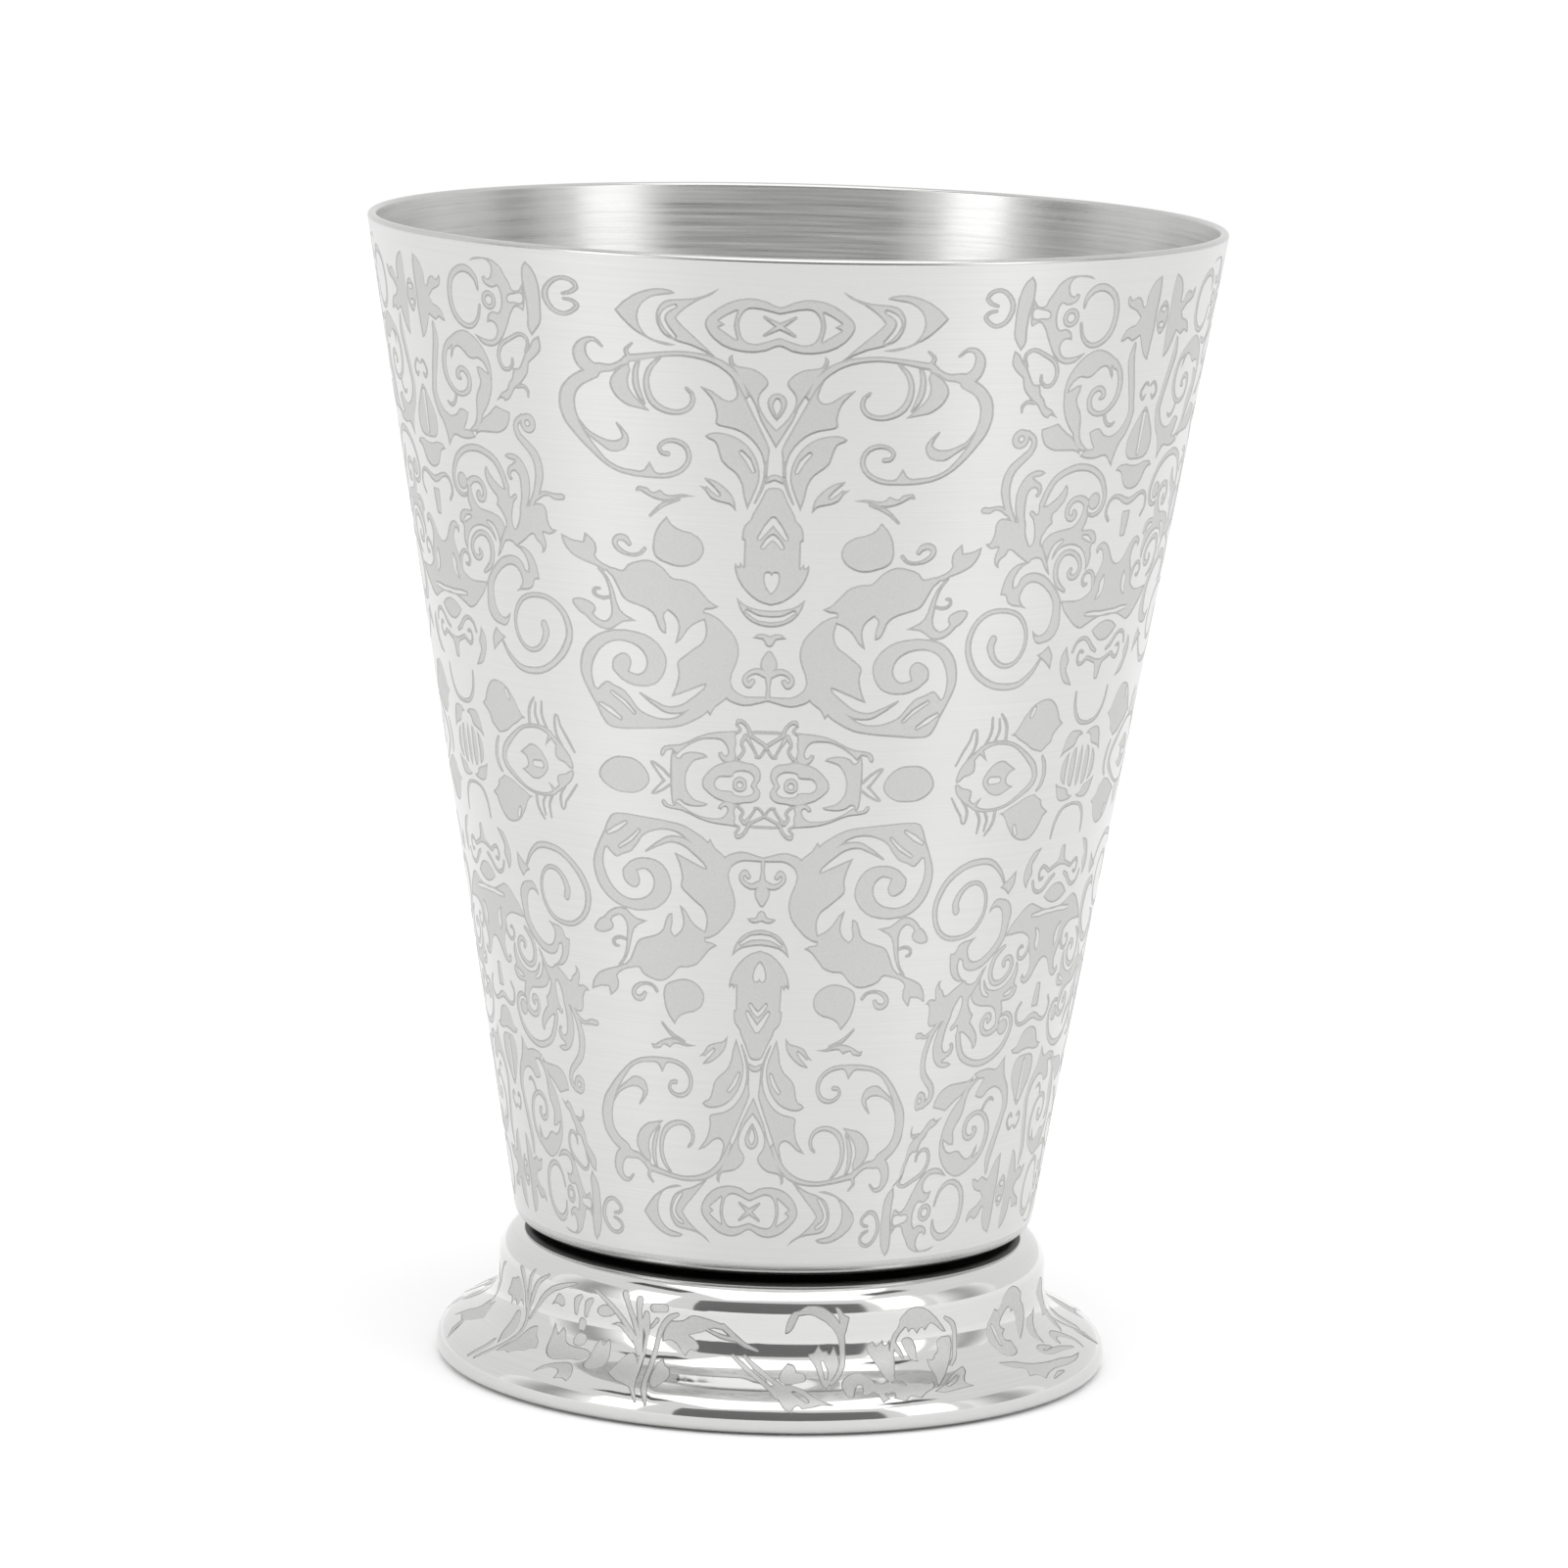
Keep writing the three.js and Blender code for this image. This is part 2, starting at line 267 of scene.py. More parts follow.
DOLPHIN_LEAVES = [
    leaf((9.9, 97.1, TIP), (8.2, 96.8), (6.6, 96.0), (5.6, 95.1), (5.2, 93.7, TIP), (6.2, 94.4),
         (7.6, 94.6), (9.0, 95.0), (9.7, 95.7), (10.7, 96.3, TIP), (9.5, 96.2)),
    clear_vine((9.7, 96.6, 0.3), (8.6, 95.9, 0.35), (7.8, 95.4, 0.15)),
    leaf((11.0, 95.1, TIP), (13.0, 94.9), (15.0, 94.5), (16.6, 94.5), (18.2, 94.9), (19.2, 95.3),
         (20.0, 95.2, TIP), (19.6, 95.8), (18.0, 95.7, TIP), (17.4, 95.3), (16.2, 95.6, TIP), (15.2, 95.1),
         (13.0, 95.3)),
    vine((13.4, 94.7, 0.3), (15.8, 94.1, 0.55), (17.8, 92.9, 0.35)),
    leaf((15.3, 93.0, TIP), (16.6, 92.0), (17.3, 91.0), (17.5, 90.2), (17.6, 89.6), (17.1, 88.7),
         (15.3, 88.1), (13.1, 87.9), (11.1, 88.4), (9.9, 89.4), (10.1, 90.6), (11.5, 91.4), (13.3, 91.7),
         (14.6, 92.2)),
    vine((18.8, 89.5, 0.5), (19.6, 88.95, 0.45), (21.2, 88.8, 0.45), (22.8, 89.2, 0.6), (23.5, 89.9, 0.7),
         (22.9, 90.45, 0.75), (21.8, 90.4, 0.8), (21.2, 89.9, 0.6)),
    leaf((31.2, 90.3, TIP), (30.9, 89.3), (29.9, 88.3), (28.3, 87.7), (26.6, 87.3), (25.4, 86.9),
         (24.2, 87.2), (25.6, 87.7), (26.6, 88.3), (26.4, 88.9), (26.6, 89.8), (27.9, 90.7, TIP),
         (28.2, 89.7, TIP), (29.6, 89.8)),
    leaf((25.2, 87.1), (24.3, 87.4), (22.4, 87.2), (21.6, 87.8), (19.8, 88.3), (17.8, 88.4), (16.1, 87.8),
         (14.6, 86.8), (13.1, 86.7), (11.3, 86.3), (10.1, 85.5), (8.9, 84.6), (7.5, 84.15, TIP),
         (8.6, 83.8), (9.8, 83.6), (9.0, 83.0), (10.1, 82.6), (11.3, 82.2), (12.3, 81.6), (13.3, 80.6),
         (14.5, 80.0, TIP), (14.0, 81.0), (13.8, 82.0), (14.3, 82.8), (15.4, 83.4, TIP), (16.0, 82.9),
         (15.7, 82.0), (15.7, 81.0, TIP), (16.5, 81.2), (17.1, 81.9), (17.6, 82.8), (18.8, 83.4),
         (20.8, 83.8), (22.3, 84.2), (23.3, 85.2), (24.1, 86.3)),
    vine((26.2, 87.1, 0.35), (25.1, 86.2, 0.45), (24.4, 85.0, 0.6), (24.1, 83.8, 0.8), (23.8, 82.8, 1.1),
         (24.4, 81.8, 1.2), (25.8, 81.4, 0.9), (27.2, 81.8, 0.8), (28.2, 82.6, 0.9)),
    leaf((30.2, 83.6), (29.3, 83.95), (27.7, 83.7), (26.9, 83.1), (27.4, 82.4), (28.6, 82.2),
         (29.7, 82.8)),
    leaf((23.6, 83.2), (22.3, 82.7), (20.3, 82.1, TIP), (22.5, 81.9), (24.2, 81.5)),
    vine((24.8, 84.3, 0.4), (26.0, 84.15, 0.45), (27.0, 84.5, 0.45), (26.9, 85.0, 0.45),
         (26.3, 85.1, 0.35)),
    leaf((10.2, 83.4), (8.3, 83.2), (6.4, 82.2), (5.0, 81.0), (4.5, 79.7), (4.8, 78.5), (5.5, 77.4),
         (5.8, 76.3), (6.3, 74.8), (8.0, 73.9), (8.9, 72.9, TIP), (9.6, 73.5), (11.0, 74.2), (10.4, 75.3),
         (9.7, 76.1, TIP), (11.6, 75.6), (13.6, 75.0), (15.2, 74.6, TIP), (14.3, 75.9), (13.9, 77.2),
         (14.1, 78.2), (12.9, 79.0), (11.6, 79.7), (10.2, 80.4), (9.6, 81.4), (9.8, 82.5)),
    vine((9.7, 75.4, 0.8), (11.2, 74.4, 1.1), (13.4, 73.5, 0.95), (15.8, 73.3, 0.8), (18.0, 73.9, 0.6),
         (20.3, 74.8, 0.25)),
    leaf((9.0, 74.2), (9.3, 73.3), (11.0, 72.5), (13.5, 71.7), (17.0, 71.3), (20.5, 71.1), (23.8, 70.9),
         (26.0, 71.1), (27.0, 72.0), (27.6, 73.0), (28.6, 74.6), (28.2, 75.6), (27.4, 74.9), (26.8, 75.3),
         (25.9, 75.75), (24.6, 75.4), (23.0, 75.0), (21.8, 74.2), (20.6, 73.2), (18.6, 72.6), (16.5, 72.4),
         (14.3, 72.7), (12.4, 73.6), (10.3, 74.8)),
    clear_vine((27.0, 73.3, 0.15), (25.5, 72.7, 0.4), (23.8, 72.0, 0.15)),
    clear_vine((25.2, 74.6, 0.15), (23.0, 73.7, 0.25), (21.4, 72.7, 0.12)),
    vine((28.0, 74.4, 0.8), (28.8, 76.4, 1.2), (28.2, 78.4, 1.4), (26.4, 79.9, 1.3), (23.8, 80.5, 1.2),
         (21.0, 80.4, 1.4), (18.7, 79.7, 1.9), (17.4, 78.3, 2.4), (18.1, 76.8, 2.0), (20.2, 76.1, 1.3),
         (22.5, 76.4, 1.3), (23.9, 77.2, 1.4)),
    vine((23.3, 77.5, 2.2), (22.8, 77.9, 1.8)),
]

CARTOUCHE = [
    leaf((1.3, 66.0), (0.8, 66.6), (0.7, 67.2), (1.0, 67.8), (2.0, 68.3), (3.2, 68.4), (4.7, 68.6),
         (6.8, 68.3), (8.2, 67.9), (9.4, 67.2), (10.1, 66.6), (10.3, 66.0)),
    clear_leaf((2.4, 66.0), (1.9, 66.7), (2.4, 67.2), (3.5, 67.4), (4.9, 67.25), (5.2, 66.85, TIP),
               (5.9, 66.75), (7.1, 66.75), (7.8, 66.5), (8.1, 66.0)),
    leaf((2.9, 66.0), (3.1, 66.6), (4.1, 66.95), (5.1, 66.6), (5.3, 66.0)),
    clear_vine((4.1, 66.0, 0.55)),
    vine((0, 71.5, 0.4), (1.9, 71.5, 0.4), (2.6, 71.3, 0.5)),
    vine((2.6, 71.2, 0.5), (1.2, 70.6, 0.5), (0, 70.1, 0.5)),
    vine((0, 70.0, 0.45), (0.5, 69.4, 0.4), (1.0, 69.0, 0.45), (1.6, 68.95, 0.4)),
    vine((1.4, 69.0, 0.4), (2.2, 70.0, 0.4), (3.0, 70.9, 0.6)),
    vine((2.6, 71.3, 0.5), (2.9, 71.9, 0.5), (3.6, 72.45, 0.5), (4.4, 72.6, 0.55), (4.7, 72.2, 0.4)),
    vine((4.6, 72.1, 0.35), (4.1, 71.7, 0.35), (4.7, 71.4, 0.45)),
    vine((3.3, 71.1, 0.6), (3.9, 70.3, 0.45), (3.5, 69.6, 0.45), (4.3, 68.8, 0.5)),
    leaf((4.7, 71.5), (6.5, 71.5), (8.8, 71.3), (10.8, 70.85), (12.4, 70.3), (13.9, 69.9), (15.6, 69.75),
         (16.7, 69.5), (17.2, 68.9), (17.0, 68.45, TIP), (16.5, 68.6), (16.1, 69.05), (15.5, 69.2),
         (15.1, 69.2, TIP), (14.4, 68.7, TIP), (13.6, 69.2), (12.6, 69.7), (11.4, 70.15), (10.0, 70.5),
         (8.5, 70.6), (7.2, 70.5), (6.4, 70.0), (6.1, 69.3), (6.5, 69.0), (7.0, 69.4, TIP),
         (7.7, 69.3, TIP), (7.5, 68.8), (6.8, 68.3), (6.0, 68.2), (5.0, 68.4), (4.7, 69.0), (4.9, 69.6),
         (4.7, 70.3), (4.8, 71.0)),
    leaf((15.55, 66.0), (15.55, 67.5), (15.4, 68.7), (15.1, 69.3, TIP), (14.2, 68.5), (13.3, 68.95),
         (12.2, 69.2), (10.8, 69.2), (9.6, 69.0), (9.2, 68.7, TIP), (10.4, 68.5), (11.5, 68.2),
         (12.3, 67.6), (12.8, 66.9), (12.95, 66.0)),
    vine((16.6, 66.0, 0.4), (17.2, 66.4, 0.35), (18.2, 67.3, 0.3), (18.7, 67.85, 0.3), (17.0, 67.3, 0.35),
         (15.7, 66.5, 0.4)),
    leaf((19.1, 66.0), (19.9, 67.2), (21.6, 68.0), (23.5, 68.15), (25.4, 68.0), (27.1, 67.2),
         (27.9, 66.0)),
]

# Panel B, in degrees from its middle
FLOWER_HEAD = [
    vine((31.1, 114.4, 0.4), (32.1, 114.65, 0.5), (32.7, 115.2, 0.5), (32.1, 115.8, 0.5),
         (30.8, 115.95, 0.5), (29.6, 115.4, 0.55), (28.9, 114.5, 0.6), (29.0, 113.6, 0.6),
         (29.8, 112.7, 0.55), (31.1, 112.4, 0.5), (32.2, 112.8, 0.5), (32.7, 113.35, 0.5),
         (32.1, 113.8, 0.45), (31.2, 113.9, 0.4)),
    leaf((26.5, 117.3, TIP), (25.8, 116.6), (25.7, 115.1), (26.1, 113.4), (26.2, 111.8), (26.1, 110.7),
         (26.8, 109.8, TIP), (28.1, 111.2), (28.3, 112.7), (28.2, 115.1), (27.5, 116.6)),
    leaf((25.7, 114.9), (25.0, 114.3), (23.9, 114.3), (23.5, 114.9), (22.7, 115.7), (22.1, 116.4),
         (20.6, 117.05), (18.9, 117.2), (16.9, 117.05), (15.9, 116.6, TIP), (17.6, 116.9), (19.3, 116.95),
         (20.2, 116.4), (20.0, 115.4), (19.3, 115.1), (18.9, 115.4), (18.3, 115.2, TIP), (18.5, 114.7),
         (19.3, 114.3), (20.4, 114.2), (21.2, 114.4), (21.7, 113.3), (21.4, 112.2), (20.8, 111.8),
         (19.9, 111.9), (18.9, 111.5), (18.5, 110.6, TIP), (19.3, 110.8), (20.1, 110.6), (20.4, 109.9),
         (19.6, 109.1), (17.9, 109.0), (15.6, 109.4, TIP), (17.4, 108.4), (19.6, 108.35), (21.3, 109.2),
         (22.6, 110.7), (23.5, 112.0), (24.4, 112.6), (25.7, 112.3)),
    clear_leaf((25.4, 113.9), (24.2, 113.8), (23.1, 113.6), (23.0, 113.1), (24.0, 113.1), (25.4, 113.1)),
    vine((19.3, 112.95, 2.0)),
    clear_vine((19.3, 112.95, 0.8)),
    vine((17.3, 113.9, 0.35), (16.9, 115.0, 0.7), (15.3, 115.8, 0.9), (13.3, 115.6, 0.85),
         (11.6, 114.6, 0.8), (11.0, 112.9, 0.8), (11.6, 111.2, 0.8), (13.3, 110.2, 0.7),
         (15.3, 110.1, 0.6), (16.8, 111.0, 0.5), (17.4, 112.3, 0.4)),
    leaf((2.0, 116.5, TIP), (3.3, 116.1), (4.2, 115.4), (4.75, 114.5), (4.7, 113.6, TIP), (5.2, 113.5),
         (5.7, 114.1), (6.4, 114.5), (7.2, 114.55), (7.9, 114.3), (8.4, 114.5), (8.8, 114.8),
         (9.1, 114.4, TIP), (8.7, 113.7), (7.8, 113.35), (6.8, 113.1), (5.6, 112.4, TIP), (6.4, 111.75),
         (7.4, 111.6), (8.3, 111.3), (8.8, 110.8), (9.2, 110.1, TIP), (8.4, 110.15), (7.6, 110.4),
         (6.6, 110.05), (5.6, 110.3), (4.9, 110.5, TIP), (4.2, 109.4), (3.2, 108.4), (2.1, 107.9, TIP),
         (1.9, 109.4), (1.65, 111.0), (1.75, 112.5), (1.6, 114.2), (1.7, 115.6)),
    leaf((0, 113.9), (1.0, 113.4), (1.5, 112.6), (1.5, 111.7), (0.9, 110.9), (0, 110.4)),
    clear_vine((0, 113.0, 0.45), (0.3, 113.0, 0.35)),
    clear_vine((0, 111.4, 0.45), (0.3, 111.4, 0.35)),
]

TALL_SCROLL = [
    leaf((5.6, 110.0), (5.3, 108.8), (4.8, 107.3), (3.9, 105.3), (3.4, 103.8), (3.0, 102.7), (3.9, 100.8),
         (5.3, 99.65), (6.1, 98.3), (6.3, 97.3, TIP), (7.3, 98.1), (8.3, 98.6), (10.3, 98.4), (12.3, 98.5),
         (13.7, 98.8, TIP), (12.6, 99.4), (11.0, 99.5, TIP), (11.8, 100.2), (12.5, 101.2, TIP),
         (11.4, 101.5), (10.4, 101.5), (9.2, 100.85), (7.6, 100.65), (5.8, 101.25), (4.6, 102.5),
         (4.7, 103.6), (5.5, 105.3), (6.2, 106.8), (6.7, 108.1), (6.3, 109.4)),
    vine((9.9, 102.8, 0.45), (9.5, 102.2, 0.5), (8.7, 101.75, 0.5), (7.9, 101.75, 0.45),
         (7.4, 102.0, 0.3)),
    leaf((21.6, 101.9, TIP), (20.2, 102.1), (18.7, 102.4, TIP), (17.8, 101.9), (16.8, 101.35),
         (15.8, 101.0), (15.0, 100.5), (14.0, 99.8), (13.6, 98.9, TIP), (14.6, 99.35), (16.6, 99.5),
         (18.6, 99.55), (20.4, 100.1), (21.3, 101.0)),
    leaf((15.4, 106.1, TIP), (16.4, 106.05), (17.3, 105.7), (18.3, 105.3), (18.4, 104.3), (17.9, 103.2),
         (17.2, 102.3), (16.4, 101.6), (15.7, 101.1), (15.4, 100.5), (14.4, 99.6), (13.2, 99.3),
         (11.8, 99.3, TIP), (13.2, 99.95), (14.0, 100.6), (14.4, 101.6), (14.5, 102.6), (14.9, 103.4),
         (15.6, 104.1), (15.9, 104.7), (15.6, 105.3)),
    leaf((18.5, 105.0), (18.4, 106.5), (17.7, 107.6), (16.6, 108.5), (15.2, 109.2), (13.4, 109.6),
         (11.6, 109.35), (9.9, 108.7), (8.6, 108.0), (9.2, 107.3), (10.0, 107.7, TIP), (9.5, 106.9),
         (9.6, 106.3, TIP), (10.1, 106.8), (10.7, 107.5), (11.6, 107.75), (12.7, 107.4), (13.7, 106.85),
         (14.7, 106.7), (15.8, 106.85), (16.9, 106.5), (17.6, 105.8, TIP), (17.9, 105.0)),
    vine((9.4, 108.1, 0.8), (8.3, 107.3, 0.8), (7.65, 106.2, 0.85), (7.65, 105.0, 0.85),
         (8.2, 104.1, 0.75), (9.2, 103.4, 0.65), (10.6, 103.0, 0.6), (12.0, 103.1, 0.65),
         (13.1, 103.6, 0.75), (13.5, 104.5, 0.75), (13.0, 105.3, 0.75), (11.9, 105.6, 0.7),
         (11.0, 105.3, 0.7), (10.8, 104.8, 0.7), (11.4, 104.6, 0.5)),
    leaf((27.8, 110.0, TIP), (27.9, 108.6), (27.0, 107.7), (25.9, 107.1, TIP), (25.5, 106.0),
         (24.4, 105.1), (22.9, 104.3), (21.7, 103.2), (20.7, 102.9, TIP), (20.3, 103.2),
         (18.9, 102.8, TIP), (20.2, 103.8), (21.3, 104.2), (21.8, 104.9, TIP), (22.5, 105.4),
         (22.9, 106.4, TIP), (23.9, 106.5), (24.7, 107.3), (25.3, 108.1), (26.1, 108.7), (26.8, 109.5)),
    vine((23.4, 104.6, 0.5), (24.5, 104.7, 0.5), (25.3, 104.3, 0.45), (25.3, 103.7, 0.3)),
    vine((25.5, 108.2, 0.45), (25.9, 109.0, 0.45), (25.7, 109.6, 0.5), (24.6, 109.9, 0.5),
         (22.9, 109.4, 0.55), (21.0, 108.6, 0.55), (20.3, 107.5, 0.55), (20.8, 106.4, 0.5),
         (21.9, 106.2, 0.5), (22.8, 106.7, 0.45), (22.9, 107.3, 0.4)),
    vine((24.8, 101.0, 2.1)),
    clear_vine((24.7, 101.0, 0.45)),
    vine((23.8, 101.6, 0.7), (22.5, 100.8, 0.75), (22.8, 99.7, 0.85), (24.3, 98.8, 1.0), (25.5, 98.0, 1.1),
         (26.1, 97.0, 1.15), (26.2, 95.9, 1.15), (25.8, 94.8, 1.0), (25.2, 93.8, 0.9), (24.2, 92.8, 0.7)),
    vine((25.4, 93.5, 0.55), (26.6, 94.05, 0.6), (27.6, 94.1, 0.5), (28.4, 93.9, 0.75),
         (29.3, 93.95, 0.75)),
    leaf((23.4, 92.5), (24.0, 93.5), (24.3, 94.6), (24.25, 95.6), (23.7, 96.6), (22.7, 97.4),
         (21.4, 97.75), (20.3, 97.7), (19.5, 97.4, TIP), (20.3, 97.1), (21.6, 97.0, TIP), (20.9, 96.65),
         (20.2, 96.4), (19.8, 95.8), (20.0, 95.2), (20.5, 94.95), (21.0, 95.2, TIP), (20.6, 95.5),
         (20.9, 95.85), (21.6, 95.9), (22.2, 95.4), (22.35, 94.5), (22.2, 93.2), (21.7, 91.9),
         (22.4, 91.6)),
    vine((19.4, 94.2, 0.85), (18.7, 95.5, 0.85), (17.5, 96.7, 0.85), (15.6, 97.4, 0.85),
         (13.3, 97.7, 0.85), (10.6, 97.4, 0.8), (8.3, 96.5, 0.8), (7.0, 95.3, 0.75), (6.5, 94.1, 0.7),
         (7.2, 93.0, 0.65), (8.6, 92.6, 0.55), (9.8, 92.8, 0.4)),
    vine((8.8, 94.05, 1.85)),
    vine((10.4, 93.9, 1.0), (11.4, 94.35, 0.85), (12.6, 94.5, 0.75), (13.7, 94.2, 0.75),
         (14.3, 93.4, 0.75), (13.9, 92.65, 0.75), (13.0, 92.55, 0.85), (12.6, 92.9, 0.75),
         (12.9, 93.2, 0.6)),
]

